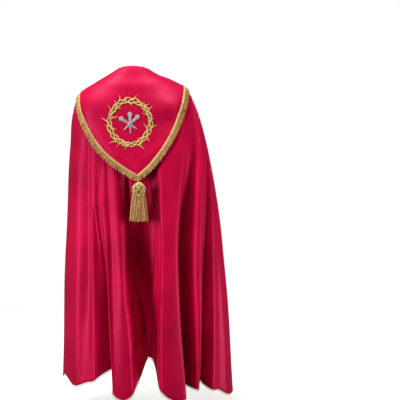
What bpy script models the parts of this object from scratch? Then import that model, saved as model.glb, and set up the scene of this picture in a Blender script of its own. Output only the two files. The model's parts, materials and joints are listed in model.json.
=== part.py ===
"""A cope: a red satin half-circle cloak worn on the shoulders, with a pointed hood flap at the back.

Metres, +Z up. The wearer faces +Y, so the back with its hood faces -Y, and the wearer's right
hand is at +X.
The origin is the middle of the neck opening, where the cloth rests on the wearer.
Angles run round the wearer in degrees: 0 is the middle of the back, +90 the right side, and
+-180 the middle of the front.
A share down runs along the cloth from 0 at the neckline to 1 at the hem.
"""

import math

import bmesh
import bpy
import numpy as np
from mathutils import Matrix, Vector

# ---------------------------------------------------------------- driving sizes
CLOTH = 0.0020  # wall of the satin body, with its interlining
HOOD_CLOTH = 0.0020
SEAM_FACET = 0.0015  # the narrow cell beside the seam, which keeps the two walls in line there
BRAID = 0.0016  # fringe heading and its locks
SEAM_GAP = 0.0003  # pieces lie this far apart where they are sewn

FIGURE_TURN = 0.15  # the figure stands turned a little, so y falls by this much of x
TURN_FULL_AT = 0.30  # share down where that turn is complete

PANEL_COLUMNS = {"left": 72, "right": 80}  # of the wall, an even number of cells to each panel
ROWS_UNDER_HOOD = 6
ROWS_BELOW_HOOD = 7
ROW_GRADING = 1.4  # rows lie closer together near the hood

HOOD_TIP = 3.5  # angle of the hood's point
HOOD_COLUMNS = 80
HOOD_FRONT_SHARE = 0.10  # about how far down the hood reaches at the fronts
HOOD_SIDE = 110.0  # angle past which its columns follow the front edges
HOOD_SETBACK = 1.5  # degrees from the hood's front edge to the body's
HOOD_EASE = 0.0009  # slack over the body's flat cells
SETTLE = 12  # a column moves round as it goes down, so its place at an edge is found by repeating
HOOD_STAND_OFF = 0.0060  # how far the hood stands off the body at its point

HEADING_WIDTH = 0.009  # the braid that heads the fringe
LOCK_LENGTH = 0.0175
LOCKS_EACH_SIDE = 70  # of the point, with one more at the point
LOCK_SHARE = 0.62  # of the pitch that a lock fills at its root
LOCK_TIP_SHARE = 0.40
LOCK_DROOP = 0.45  # how much of a lock's direction is straight down

PIPING_RADIUS = 0.0020
PIPING_EASE = 0.0009  # more room where the hem turns sharply

CLASP_SHARES = (0.098, 0.132)  # the tab that holds the fronts together, from top to bottom
CLASP_OVERLAP = 3  # columns of each front that it lies on
CLASP_BRIDGE = 3  # columns across the gap between them
CLASP_BOW = 0.002
CLASP_ROWS = 3

TASSEL_HEAD_RADIUS = 0.026
TASSEL_HEAD_HEIGHT = 0.054
TASSEL_FLATNESS = 0.80  # the tassel's depth, as a share of its width
TASSEL_SKIRT_LENGTH = 0.098
TASSEL_SKIRT_TOP = 0.0245  # radius of the outer ring of strands at the head
TASSEL_SKIRT_BOTTOM = 0.035
TASSEL_RINGS = ((22, 1.0), (14, 0.66), (7, 0.32))  # strands, and share of the skirt's radius
TASSEL_STRAND_RADIUS = (0.0030, 0.0046)  # at the head, and at the end
TASSEL_DROP = 0.024  # from the hood's point to the top of the head
TASSEL_ASIDE = 0.005  # it hangs this far to the right of the point
TASSEL_ROOT = 0.0035  # how far strands and loop reach into the head
TASSEL_HEAD_SIDES = 14
TASSEL_PROFILE = {
    "radius": (0.00, 0.30, 0.72, 0.96, 1.00, 0.90, 0.78, 0.94, 0.94, 0.00),
    "down": (0.00, 0.01, 0.16, 0.36, 0.52, 0.72, 0.84, 0.93, 1.00, 1.00),
}
LOOP_RADIUS = 0.0025
LOOP_SEWN_UP = 0.0045  # share down from the loop's sewn end to the hood's point
LOOP_SLANT = (0.006, 0.003)  # where it bends over the head, back and up from the head's top
WELD = 0.00001

NEARBY_ANGLE = 0.25  # steps over which the cloth's slopes are taken
NEARBY_SHARE = 0.002

# Rings of the unfolded cloth round a general figure. Half-widths and heights in metres.
RINGS = {
    "share_down": (0.000, 0.030, 0.075, 0.120, 0.155, 0.190, 0.300, 0.500, 0.750, 1.000),
    "left_width": (0.077, 0.107, 0.160, 0.211, 0.239, 0.253, 0.265, 0.274, 0.286, 0.296),
    "left_height": (0.006, -0.013, -0.045, -0.079, -0.116, -0.164, -0.308, -0.575, -0.910, -1.280),
    "right_width": (0.078, 0.108, 0.162, 0.216, 0.247, 0.265, 0.306, 0.351, 0.390, 0.417),
    "right_height": (0.010, -0.006, -0.026, -0.056, -0.088, -0.135, -0.282, -0.550, -0.906, -1.329),
    "back_depth": (0.070, 0.080, 0.096, 0.110, 0.120, 0.128, 0.152, 0.196, 0.256, 0.330),
    "back_height": (0.020, -0.018, -0.076, -0.134, -0.184, -0.233, -0.380, -0.645, -0.970, -1.295),
    "front_depth": (0.062, 0.080, 0.104, 0.122, 0.132, 0.140, 0.152, 0.166, 0.190, 0.215),
    "front_height": (-0.062, -0.095, -0.152, -0.208, -0.255, -0.300, -0.440, -0.690, -1.000, -1.300),
    "squareness": (2.0, 2.1, 2.3, 2.5, 2.5, 2.5, 2.5, 2.4, 2.3, 2.2),
}

# The valleys between the hanging folds. Angles and half-widths in degrees, the rest in metres at the hem.
# A valley's floor moves round by its lean, so that one fold laps over the next.
# Its hem rises by its lift.
VALLEY_COLUMNS = ("top", "middle", "hem", "half_top", "half_hem", "depth", "lean", "lift", "start")
VALLEY_SHARES = (0.20, 0.50, 1.00)  # where the first three columns are read
VALLEYS = {
    "front_left": (-138, -139, -140, 6, 5, 0.100, 0.00, 0.03, 0.20),
    "side_left_front": (-118, -118, -119, 6, 6, 0.090, 0.00, 0.03, 0.20),
    "side_left_back": (-96, -96, -96, 8, 8, 0.090, 0.00, 0.03, 0.22),
    "left_turn": (-62, -62, -62, 10, 10, 0.000, 0.00, 0.035, 0.22),
    "left_soft_outer": (-39, -38, -36, 7, 8, 0.016, 0.00, 0.041, 0.22),
    "left_soft_inner": (-33, -31, -28.5, 3, 3, 0.010, 0.00, 0.01, 0.22),
    "left_lap": (-33, -29.5, -22.5, 5, 6, 0.100, 0.032, 0.105, 0.45),
    "centre_left_lip": (-5.8, -6.4, 3.0, 3.0, 4, 0.035, 0.00, 0.03, 0.20),
    "centre": (2.0, 3.0, 8.6, 16, 5.7, 0.140, 0.00, 0.120, 0.18),
    "right_lap": (56, 38, 32, 9.5, 3.6, 0.130, 0.00, 0.025, 0.12),
    "right_edge": (84, 57, 42, 4.4, 4.0, 0.060, 0.00, 0.045, 0.24),
    "right_rise": (84, 57, 38.5, 6, 4.0, 0.000, 0.00, 0.020, 0.24),
    "right_soft": (92, 66, 52, 6, 6, 0.012, 0.00, 0.03, 0.24),
    "side_right_back": (106, 102, 99, 7, 7, 0.100, 0.00, 0.03, 0.20),
    "side_right_front": (122, 121, 120, 6, 6, 0.100, 0.00, 0.03, 0.20),
    "front_right": (140, 140, 140, 6, 5, 0.100, 0.00, 0.03, 0.20),
}
MOUTH = 0.07  # the lips of a valley close in on it by this much of its depth
LIP_REACH = 1.7  # half-widths from a valley's middle to where its lips end
LIFT_REACH = 1.2  # and to where the hem comes down again

# Folds that no column of the wall follows.
OFF_THE_GUIDES = (
    "centre", "centre_left_lip", "left_turn", "left_soft_inner", "right_rise", "right_soft",
)

# Where the panels are cut: the seam is read as the valleys are, and the front edges mirror each other.
BACK_SEAM = (9.0, 13.3, 8.6)
FRONT_EDGE = {
    "share": (0.00, 0.03, 0.06, 0.10, 0.20, 1.00),
    "angle": (150.0, 160.0, 166.0, 170.0, 171.0, 163.0),
}

# Where the hood's cloth ends, as shares down the body, on each side of its point.
HOOD_EDGE = {
    "left": {
        "angle": (3.5, -6.0, -15.5, -25.0, -33.0, -41.5, -50.0, -60.0, -74.0, -95.0, -125.0, -180.0),
        "share": (0.3535, 0.333, 0.313, 0.288, 0.261, 0.225, 0.193, 0.161, 0.138, 0.120, 0.098, 0.070),
    },
    "right": {
        "angle": (3.5, 8.0, 13.0, 19.0, 26.5, 34.5, 43.0, 55.0, 73.0, 95.0, 125.0, 180.0),
        "share": (0.3535, 0.339, 0.322, 0.297, 0.264, 0.227, 0.190, 0.152, 0.128, 0.116, 0.098, 0.070),
    },
}

COLOURS = {
    "satin": ((0.62, 0.012, 0.065), 0.38, 0.0),
    "gold": ((0.62, 0.42, 0.13), 0.42, 0.6),
    "piping": ((0.80, 0.62, 0.30), 0.50, 0.2),
}


# ---------------------------------------------------------------- curves and the cloth's surface
def along(xs, ys, at):
    """A smooth curve through the points (xs, ys), read at the values at."""
    xs, ys, at = np.asarray(xs, float), np.asarray(ys, float), np.asarray(at, float)
    if xs[0] > xs[-1]:
        xs, ys = xs[::-1], ys[::-1]
    steps = np.diff(xs)
    slopes = np.diff(ys) / steps
    tangents = np.empty_like(xs)
    tangents[0], tangents[-1] = slopes[0], slopes[-1]
    tangents[1:-1] = (slopes[:-1] * steps[1:] + slopes[1:] * steps[:-1]) / (steps[:-1] + steps[1:])
    span = np.clip(np.searchsorted(xs, at, side="right") - 1, 0, len(xs) - 2)
    t = np.clip((at - xs[span]) / steps[span], 0, 1)
    rise = steps[span] * (t * (1 - t) ** 2 * tangents[span] - t * t * (1 - t) * tangents[span + 1])
    return ys[span] * (1 + 2 * t) * (1 - t) ** 2 + ys[span + 1] * t * t * (3 - 2 * t) + rise


def ring(name, share):
    return along(RINGS["share_down"], RINGS[name], share)


def unfolded(angle, share):
    """Points of the cloth before it falls into folds."""
    turn = np.radians(angle)
    sine, cosine = np.sin(turn), np.cos(turn)
    power = ring("squareness", share)
    reach = (np.abs(sine) ** power + np.abs(cosine) ** power) ** (-1 / power)
    width = np.where(sine < 0, ring("left_width", share), ring("right_width", share))
    depth = np.where(cosine > 0, ring("back_depth", share), ring("front_depth", share))
    side = np.where(sine < 0, ring("left_height", share), ring("right_height", share))
    middle = np.where(cosine > 0, ring("back_height", share), ring("front_height", share))
    x = width * reach * sine
    y = -depth * reach * cosine - FIGURE_TURN * x * np.clip(share / TURN_FULL_AT, 0, 1)
    return np.stack([x, y, side + (middle - side) * cosine**2], axis=-1)


def unit(vectors):
    return vectors / np.linalg.norm(vectors, axis=-1, keepdims=True)


def round_and_in(angle, share):
    """The level directions round the wearer and in towards the wearer, at points of the unfolded cloth."""
    tangent = unfolded(angle + NEARBY_ANGLE, share) - unfolded(angle - NEARBY_ANGLE, share)
    tangent[..., 2] = 0
    tangent = unit(tangent)
    inward = np.stack([-tangent[..., 1], tangent[..., 0], np.zeros_like(tangent[..., 0])], axis=-1)
    return tangent, inward


def valleys(angle, share):
    """How far the folds move each point in, round and up, in metres."""
    inward, sideways, upward = np.zeros_like(share), np.zeros_like(share), np.zeros_like(share)
    for row in VALLEYS.values():
        valley = dict(zip(VALLEY_COLUMNS, row))
        grown = np.clip((share - valley["start"]) / (1 - valley["start"]), 0, 1)
        centre = along(VALLEY_SHARES, row[:3], share)
        half = valley["half_top"] + (valley["half_hem"] - valley["half_top"]) * grown
        off = (angle - centre) / half
        floor = np.exp(-(off**4))
        lips = off * (1 - floor) * np.exp(-((off / LIP_REACH) ** 4))
        inward += valley["depth"] * grown * floor
        sideways += grown * (valley["lean"] * floor - MOUTH * valley["depth"] * lips)
        upward += valley["lift"] * share * grown * np.exp(-((off / LIFT_REACH) ** 2))
    return inward, sideways, upward


def cloth(angle, share):
    """Points of the cloth's middle surface as it hangs."""
    angle, share = np.broadcast_arrays(np.asarray(angle, float), np.asarray(share, float))
    tangent, inward = round_and_in(angle, share)
    depth, sideways, upward = valleys(angle, share)
    points = unfolded(angle, share) + inward * depth[..., None] + tangent * sideways[..., None]
    points[..., 2] += upward
    return points


def outward(angle, share):
    """The direction out of the cloth, square to it, at points of the unfolded cloth."""
    angle, share = np.broadcast_arrays(np.asarray(angle, float), np.asarray(share, float))
    above, below = np.clip(share - NEARBY_SHARE, 0, 1), np.clip(share + NEARBY_SHARE, 0, 1)
    down = unfolded(angle, below) - unfolded(angle, above)
    across = unfolded(angle + NEARBY_ANGLE, share) - unfolded(angle - NEARBY_ANGLE, share)
    return unit(np.cross(down, across))


# ---------------------------------------------------------------- where the pieces' edges run
def front_edge(share):
    return along(FRONT_EDGE["share"], FRONT_EDGE["angle"], share)


def hood_edge(angle):
    """The share down where the hood ends."""
    left, right = HOOD_EDGE["left"], HOOD_EDGE["right"]
    left_share = along(left["angle"], left["share"], np.minimum(angle, HOOD_TIP))
    right_share = along(right["angle"], right["share"], np.maximum(angle, HOOD_TIP))
    return np.where(angle < HOOD_TIP, left_share, right_share)


def evenly(low, high, cells, share):
    """Angles from low to high, evenly spaced along the cloth at that share down."""
    angles = np.linspace(low, high, 4001)
    points = cloth(angles, share)
    length = np.concatenate([[0], np.cumsum(np.linalg.norm(np.diff(points, axis=0), axis=1))])
    return np.interp(np.linspace(0, length[-1], cells + 1), length, angles)


def guide_angles(share):
    """Angles of the lines that run down the cloth with its folds and edges, a row for each."""
    rows = [row[:3] for name, row in VALLEYS.items() if name not in OFF_THE_GUIDES] + [BACK_SEAM]
    inner = [along(VALLEY_SHARES, row, share) for row in sorted(rows, key=lambda row: row[2])]
    return np.array([-front_edge(share), *inner, front_edge(share)])


def column_angle(hem_angle, share):
    """The angles, at shares down, of the columns that have these angles at the hem."""
    at_hem, here = guide_angles(np.float64(1)), guide_angles(share)
    span = np.clip(np.searchsorted(at_hem, hem_angle, side="right") - 1, 0, len(at_hem) - 2)
    part = (hem_angle - at_hem[span]) / (at_hem[span + 1] - at_hem[span])
    column = np.arange(len(hem_angle))
    return here[span, column] * (1 - part) + here[span + 1, column] * part


def panel_columns(side):
    """Angles at the hem of a panel's columns, evenly spaced along the hem."""
    seam, edge = BACK_SEAM[2], float(front_edge(1.0))
    low, high = (-edge, seam) if side == "left" else (seam, edge)
    return evenly(low, high, PANEL_COLUMNS[side], 1.0)


def hood_row(hem_angle, part):
    """Angles and shares down of one row under the hood: part is 0 at the neckline, 1 at the hood's edge."""
    share = np.full_like(hem_angle, HOOD_FRONT_SHARE)
    for _ in range(SETTLE):
        angle = column_angle(hem_angle, share)
        share = part * hood_edge(angle)
    return angle, share


def panel_grid(hem_angle):
    """Angles and shares down of a panel's points: rows that fan out under the hood, then rows to the hem."""
    parts = np.linspace(0, 1, ROWS_UNDER_HOOD + 1)
    rows = [hood_row(hem_angle, part) for part in parts]
    edge_share = rows[-1][1]
    for part in np.linspace(0, 1, ROWS_BELOW_HOOD + 1)[1:] ** ROW_GRADING:
        share = edge_share + (1 - edge_share) * part
        rows.append((column_angle(hem_angle, share), share))
    return np.array([row[0] for row in rows]), np.array([row[1] for row in rows])


def hood_stand_off(share):
    """How far the hood's middle surface lies out from the body's."""
    sewn = (CLOTH + HOOD_CLOTH) / 2 + SEAM_GAP
    ease = HOOD_EASE * np.clip(share / 0.02, 0, 1)
    return sewn + ease + HOOD_STAND_OFF * np.clip(share / HOOD_EDGE["left"]["share"][0], 0, 1.2) ** 2


def over_hood(angle, share, out):
    """Points that lie out from the hood's outer face."""
    distance = hood_stand_off(share) + HOOD_CLOTH / 2 + out
    return unfolded(angle, share) + outward(angle, share) * distance[..., None]


def hood_edge_at(distances):
    """Angles and shares at distances along the hood's edge from its point, negative to the left."""
    angles = np.linspace(-176, 176, 5001)
    angles = angles[np.abs(angles) < front_edge(hood_edge(angles)) - HOOD_SETBACK]
    shares = hood_edge(angles)
    points = unfolded(angles, shares)
    length = np.concatenate([[0], np.cumsum(np.linalg.norm(np.diff(points, axis=0), axis=1))])
    length -= np.interp(HOOD_TIP, angles, length)
    if distances is None:
        return length[0], length[-1]
    return np.interp(distances, length, angles), np.interp(distances, length, shares)


def slide(angle, share, direction, distance):
    """Angles and shares of the points reached by going along the cloth, in a direction, for a distance."""
    across = unfolded(angle + NEARBY_ANGLE, share) - unfolded(angle - NEARBY_ANGLE, share)
    down = unfolded(angle, share + NEARBY_SHARE) - unfolded(angle, share - NEARBY_SHARE)
    across, down = across / (2 * NEARBY_ANGLE), down / (2 * NEARBY_SHARE)
    aa, dd, ad = (across * across).sum(-1), (down * down).sum(-1), (across * down).sum(-1)
    step = direction * np.asarray(distance)[..., None]
    a, d = (across * step).sum(-1), (down * step).sum(-1)
    spread = aa * dd - ad * ad
    return angle + (dd * a - ad * d) / spread, share + (aa * d - ad * a) / spread


# ---------------------------------------------------------------- meshes and objects
def material(name):
    colour, roughness, metallic = COLOURS[name]
    made = bpy.data.materials.new(name)
    made.use_nodes = True
    shader = made.node_tree.nodes["Principled BSDF"]
    shader.inputs["Base Color"].default_value = (*colour, 1)
    shader.inputs["Roughness"].default_value = roughness
    shader.inputs["Metallic"].default_value = metallic
    return made


def sheet(name, points, thickness, finish, keep=None):
    """A wall through a grid of points, given by rows. Only the cells that keep(row, column) picks stay."""
    rows, columns = points.shape[:2]
    mesh = bmesh.new()
    bmesh.ops.create_grid(mesh, x_segments=columns - 1, y_segments=rows - 1, size=1)
    place = {}
    for vertex in mesh.verts:
        column = round((vertex.co.x + 1) / 2 * (columns - 1))
        row = round((1 - vertex.co.y) / 2 * (rows - 1))
        place[vertex] = (row, column)
    if keep:
        gaps = []
        for face in mesh.faces:
            row = min(place[vertex][0] for vertex in face.verts)
            column = min(place[vertex][1] for vertex in face.verts)
            if not keep(row, column):
                gaps.append(face)
        bmesh.ops.delete(mesh, geom=gaps, context="FACES")
    for vertex in mesh.verts:
        vertex.co = points[place[vertex]]
    data = bpy.data.meshes.new(name)
    mesh.to_mesh(data)
    mesh.free()
    data.shade_smooth()
    data.materials.append(material(finish))
    made = bpy.data.objects.new(name, data)
    wall = made.modifiers.new("wall", "SOLIDIFY")
    wall.thickness = thickness
    wall.offset = 0
    return made


def tube(name, points, radius, finish):
    """A square-sided tube along points."""
    data = bpy.data.curves.new(name, "CURVE")
    data.dimensions = "3D"
    data.bevel_depth = radius
    data.bevel_resolution = 0
    data.use_fill_caps = True
    spline = data.splines.new("POLY")
    spline.points.add(len(points) - 1)
    for target, point in zip(spline.points, points):
        target.co = (*point, 1)
    data.materials.append(material(finish))
    return bpy.data.objects.new(name, data)


# ---------------------------------------------------------------- the pieces
def make_panel(side):
    """One quarter-circle panel of the body, from the centre-back seam to a front edge."""
    angle, share = panel_grid(panel_columns(side))
    seam, way = (-1, -1) if side == "left" else (0, 1)
    seam_angle, seam_share = angle[:, seam].copy(), share[:, seam]
    around = cloth(seam_angle + NEARBY_ANGLE, seam_share) - cloth(seam_angle - NEARBY_ANGLE, seam_share)
    degree = np.linalg.norm(around, axis=-1) / (2 * NEARBY_ANGLE)
    angle[:, seam] = seam_angle + way * SEAM_GAP / degree
    beside = seam_angle + way * (SEAM_GAP + SEAM_FACET) / degree
    at = len(angle[0]) - 1 if side == "left" else 1
    angle, share = np.insert(angle, at, beside, axis=1), np.insert(share, at, seam_share, axis=1)
    return sheet(f"cope_{side}", cloth(angle, share), CLOTH, "satin")


def make_hood():
    """The hood: a flap sewn in at the neckline, over the shoulders and down to its point."""
    reach = front_edge(HOOD_FRONT_SHARE) - HOOD_SETBACK
    columns = np.concatenate([
        evenly(-reach, HOOD_TIP, HOOD_COLUMNS // 2, HOOD_FRONT_SHARE)[:-1],
        evenly(HOOD_TIP, reach, HOOD_COLUMNS // 2, HOOD_FRONT_SHARE),
    ])
    rows = []
    for part in np.linspace(0, 1, ROWS_UNDER_HOOD + 1):
        share = np.full_like(columns, part * HOOD_FRONT_SHARE)
        for _ in range(SETTLE):
            fronts = (front_edge(share) - HOOD_SETBACK - HOOD_SIDE) / (reach - HOOD_SIDE)
            past = np.clip(np.abs(columns) - HOOD_SIDE, 0, None) * (fronts - 1)
            angle = columns + np.sign(columns) * past
            share = part * hood_edge(angle)
        rows.append(over_hood(angle, share, -HOOD_CLOTH / 2))
    return sheet("hood", np.array(rows), HOOD_CLOTH, "satin")


def off_the_edge(distances, pitch):
    """Along the hood's edge: angles and shares, the way off it in the cloth, and the stretch at its point."""
    angle, share = hood_edge_at(distances)
    here = unfolded(angle, share)
    back = unit(here - unfolded(*hood_edge_at(distances - pitch)))
    ahead = unit(unfolded(*hood_edge_at(distances + pitch)) - here)
    way = unit(np.cross(back + ahead, outward(angle, share)))
    mitre = 1 / np.clip(np.linalg.norm(back + ahead, axis=-1) / 2, 0.6, 1)
    return angle, share, way, mitre


def make_fringe():
    """The braid that heads the fringe along the hood's edge, with its locks, as one comb."""
    low, high = hood_edge_at(None)
    pitch = min(-low, high) / (LOCKS_EACH_SIDE + 0.5)
    middles = np.arange(-LOCKS_EACH_SIDE, LOCKS_EACH_SIDE + 1)[:, None] * pitch
    roots = (middles + np.array([-0.5, 0.5]) * pitch * LOCK_SHARE).ravel()
    ends = (middles + np.array([-0.5, 0.5]) * pitch * LOCK_TIP_SHARE).ravel()

    out = BRAID / 2 + SEAM_GAP
    angle, share, way, mitre = off_the_edge(roots, pitch)
    inner = slide(angle, share, way, -HEADING_WIDTH * mitre)
    end_angle, end_share, end_way, _ = off_the_edge(ends, pitch)
    drop = unit(end_way + np.array([0, 0, -LOCK_DROOP]))
    end = slide(end_angle, end_share, drop, np.full(len(ends), LOCK_LENGTH))
    points = np.stack([over_hood(*inner, out), over_hood(angle, share, out), over_hood(*end, out)])

    def braid_or_lock(row, column):
        return row == 0 or column % 2 == 0

    return sheet("hood_fringe", points, BRAID, "gold", keep=braid_or_lock)


def beside(line, way, distance):
    """Points at a distance off a line, square to it, on the side that way points to."""
    steps = unit(np.diff(line, axis=0))
    before, after = np.vstack([steps[:1], steps]), np.vstack([steps, steps[-1:]])
    run = unit(before + after)
    way = unit(way - run * (way * run).sum(-1, keepdims=True))
    lean = np.minimum(
        np.linalg.norm(np.cross(way, before), axis=-1), np.linalg.norm(np.cross(way, after), axis=-1)
    )
    return line + way * (distance / np.clip(lean, 0.4, 1))[:, None]


def piping_line():
    """Middle of the piping: down one front edge, round the hem and up the other."""
    hem_angle = np.concatenate([panel_columns("left"), panel_columns("right")[1:]])
    angle, share = panel_grid(hem_angle)
    points = cloth(angle, share)
    off = PIPING_RADIUS + SEAM_GAP + PIPING_EASE
    hem = beside(points[-1], points[-1] - cloth(hem_angle, 0.99), off)
    left = beside(points[:, 0], points[:, 0] - points[:, 1], off)
    right = beside(points[:, -1], points[:, -1] - points[:, -2], off)
    hem[0] += left[-1] - points[-1, 0]
    hem[-1] += right[-1] - points[-1, -1]
    return np.concatenate([left[:-1], hem, right[-2::-1]])


def make_clasp():
    """The tab that crosses from one front to the other and holds them together."""
    ends = {}
    for side, outermost in (("left", slice(0, CLASP_OVERLAP)), ("right", slice(-CLASP_OVERLAP, None))):
        angle, share = panel_grid(panel_columns(side))
        above, below = ROWS_UNDER_HOOD, ROWS_UNDER_HOOD + 1
        points = cloth(angle, share)
        rows = []
        for level in np.linspace(*CLASP_SHARES, CLASP_ROWS):
            part = (level - share[above, outermost]) / (share[below, outermost] - share[above, outermost])
            drop = points[below, outermost] - points[above, outermost]
            place = points[above, outermost] + drop * part[:, None]
            out = outward(angle[above, outermost], np.full(CLASP_OVERLAP, level))
            rows.append(place + out * (PIPING_RADIUS + SEAM_GAP + CLOTH / 2))
        ends[side] = np.array(rows)
    span = ends["left"][:, :1] - ends["right"][:, -1:]
    steps = np.linspace(0, 1, CLASP_BRIDGE + 2)[1:-1]
    bridge = ends["right"][:, -1:] + span * steps[None, :, None]
    bridge[..., 1] += (CLASP_BOW * np.sin(np.pi * steps))[None, :]
    return sheet("clasp_tab", np.concatenate([ends["right"], bridge, ends["left"]], axis=1), CLOTH, "satin")


def object_of(name, mesh, finish, collection=None):
    """An object made from a bmesh, with its normals facing out."""
    bmesh.ops.recalc_face_normals(mesh, faces=mesh.faces)
    data = bpy.data.meshes.new(name)
    mesh.to_mesh(data)
    mesh.free()
    data.shade_smooth()
    data.materials.append(material(finish))
    made = bpy.data.objects.new(name, data)
    if collection:
        collection.objects.link(made)
        made.hide_render = True
        made.display_type = "WIRE"
    return made


def tassel_head(top):
    """The turned head: a ball that narrows to a bound neck."""
    head = bmesh.new()
    corners = [
        head.verts.new((x * TASSEL_HEAD_RADIUS, 0, -z * TASSEL_HEAD_HEIGHT))
        for x, z in zip(TASSEL_PROFILE["radius"], TASSEL_PROFILE["down"])
    ]
    for first, second in zip(corners, corners[1:]):
        head.edges.new((first, second))
    bmesh.ops.spin(
        head, geom=head.verts[:] + head.edges[:], cent=(0, 0, 0), axis=(0, 0, 1),
        angle=math.tau, steps=TASSEL_HEAD_SIDES, use_merge=True,
    )
    bmesh.ops.remove_doubles(head, verts=head.verts, dist=WELD)
    bmesh.ops.scale(head, vec=(1, TASSEL_FLATNESS, 1), verts=head.verts)
    bmesh.ops.translate(head, vec=top, verts=head.verts)
    return object_of("tassel", head, "gold")


def tassel_skirt(top, cutters):
    """Rings of four-sided strands that hang from inside the head and spread as they fall."""
    strands = bmesh.new()
    root, end_height = TASSEL_HEAD_HEIGHT - TASSEL_ROOT, TASSEL_HEAD_HEIGHT + TASSEL_SKIRT_LENGTH
    for count, reach in TASSEL_RINGS:
        for index in range(count):
            turn = math.tau * (index + 0.5) / count
            way = Vector((math.sin(turn), math.cos(turn) * TASSEL_FLATNESS, 0)) * reach
            start = top + way * TASSEL_SKIRT_TOP - Vector((0, 0, root))
            end = top + way * TASSEL_SKIRT_BOTTOM - Vector((0, 0, end_height))
            axis = end - start
            tilt = Vector((0, 0, 1)).rotation_difference(axis).to_matrix().to_4x4()
            bmesh.ops.create_cone(
                strands, cap_ends=True, segments=4, depth=axis.length,
                radius1=TASSEL_STRAND_RADIUS[0], radius2=TASSEL_STRAND_RADIUS[1],
                matrix=Matrix.Translation((start + end) / 2) @ tilt,
            )
    return object_of("tassel_strands", strands, "gold", cutters)


def tassel_loop(top, cutters):
    """The cord that the head hangs by, sewn to the braid at the hood's point."""
    tip_angle = np.array([HOOD_TIP])
    tip_share = hood_edge(tip_angle)
    sewn = over_hood(tip_angle, tip_share - LOOP_SEWN_UP, BRAID + 2 * SEAM_GAP)[0]
    tip = over_hood(tip_angle, tip_share, BRAID + 2 * SEAM_GAP)[0]
    route = [
        (sewn[0], sewn[1] - LOOP_RADIUS, sewn[2]),
        (tip[0], tip[1] - LOOP_RADIUS, tip[2]),
        (top.x, top.y + LOOP_SLANT[0], top.z + LOOP_SLANT[1]),
        (top.x, top.y, top.z - TASSEL_ROOT),
    ]
    cord = tube("tassel_cord", route, LOOP_RADIUS, "gold")
    cutters.objects.link(cord)
    bpy.context.view_layer.update()
    whole = bpy.data.meshes.new_from_object(cord.evaluated_get(bpy.context.evaluated_depsgraph_get()))
    bpy.data.objects.remove(cord)
    loop = bmesh.new()
    loop.from_mesh(whole)
    bpy.data.meshes.remove(whole)
    bmesh.ops.remove_doubles(loop, verts=loop.verts, dist=WELD)
    return object_of("tassel_loop", loop, "gold", cutters)


def make_tassel(cutters):
    """The tassel at the hood's point: its loop, its knotted head and its skirt, fused at the head."""
    tip_angle = np.array([HOOD_TIP])
    tip = over_hood(tip_angle, hood_edge(tip_angle), BRAID + 2 * SEAM_GAP)[0]
    depth = TASSEL_HEAD_RADIUS * TASSEL_FLATNESS
    top = Vector((tip[0] + TASSEL_ASIDE, tip[1] - depth - SEAM_GAP, tip[2] - TASSEL_DROP))
    tassel = tassel_head(top)
    for joined in (tassel_skirt(top, cutters), tassel_loop(top, cutters)):
        union = tassel.modifiers.new(joined.name, "BOOLEAN")
        union.operation = "UNION"
        union.object = joined
        union.use_self = True  # strands may cross where they fan out of the head
    return tassel


def main():
    for old in list(bpy.data.objects):
        bpy.data.objects.remove(old)
    cope = bpy.data.collections.new("cope")
    cutters = bpy.data.collections.new("cutters")
    for collection in (cope, cutters):
        bpy.context.scene.collection.children.link(collection)
    for made in (
        make_panel("left"),
        make_panel("right"),
        make_hood(),
        make_fringe(),
        tube("piping", piping_line(), PIPING_RADIUS, "piping"),
        make_clasp(),
        make_tassel(cutters),
    ):
        cope.objects.link(made)


main()
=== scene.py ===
"""Dresses a cope's solids: red satin with soft folds, an embroidered hood edged in gold, a tassel
and piping.

Metres, +Z up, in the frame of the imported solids. The wearer faces +Y, so the hood's side faces -Y.
Angles run round the wearer in degrees: 0 is the middle of the back, +90 the right side, and
+-180 the middle of the front. A share down runs along the cloth from 0 at the neckline to 1 at
the hem.
"""

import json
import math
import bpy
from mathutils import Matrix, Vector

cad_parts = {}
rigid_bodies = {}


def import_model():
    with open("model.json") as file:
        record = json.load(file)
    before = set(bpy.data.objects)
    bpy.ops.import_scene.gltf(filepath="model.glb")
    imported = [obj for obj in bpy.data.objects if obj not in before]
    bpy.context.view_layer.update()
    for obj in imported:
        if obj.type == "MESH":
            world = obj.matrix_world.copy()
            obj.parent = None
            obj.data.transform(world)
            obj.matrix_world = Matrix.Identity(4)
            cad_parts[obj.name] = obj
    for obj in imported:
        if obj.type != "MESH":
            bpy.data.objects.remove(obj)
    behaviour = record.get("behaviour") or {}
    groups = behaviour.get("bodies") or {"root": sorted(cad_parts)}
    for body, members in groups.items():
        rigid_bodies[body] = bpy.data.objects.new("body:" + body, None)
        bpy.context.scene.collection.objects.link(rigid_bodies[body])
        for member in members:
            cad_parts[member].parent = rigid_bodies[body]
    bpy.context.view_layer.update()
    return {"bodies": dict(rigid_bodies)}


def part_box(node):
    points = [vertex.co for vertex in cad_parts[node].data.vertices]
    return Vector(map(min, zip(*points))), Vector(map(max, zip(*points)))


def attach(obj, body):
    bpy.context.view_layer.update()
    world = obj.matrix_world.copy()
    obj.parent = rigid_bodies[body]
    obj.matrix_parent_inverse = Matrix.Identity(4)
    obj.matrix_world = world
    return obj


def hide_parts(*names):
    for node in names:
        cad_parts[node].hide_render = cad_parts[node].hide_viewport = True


bl_info = {
    "name": "Satin cope",
    "version": (1, 0, 0),
    "blender": (4, 5, 0),
    "location": "3D View > Sidebar > Cope",
    "description": "Dresses the solids of a cope in satin, gold fringe, embroidery and a tassel",
    "category": "Object",
}

import bmesh
import bpy
import numpy as np

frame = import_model()
BODY = next(iter(frame["bodies"]))
MM = 0.001


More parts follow.
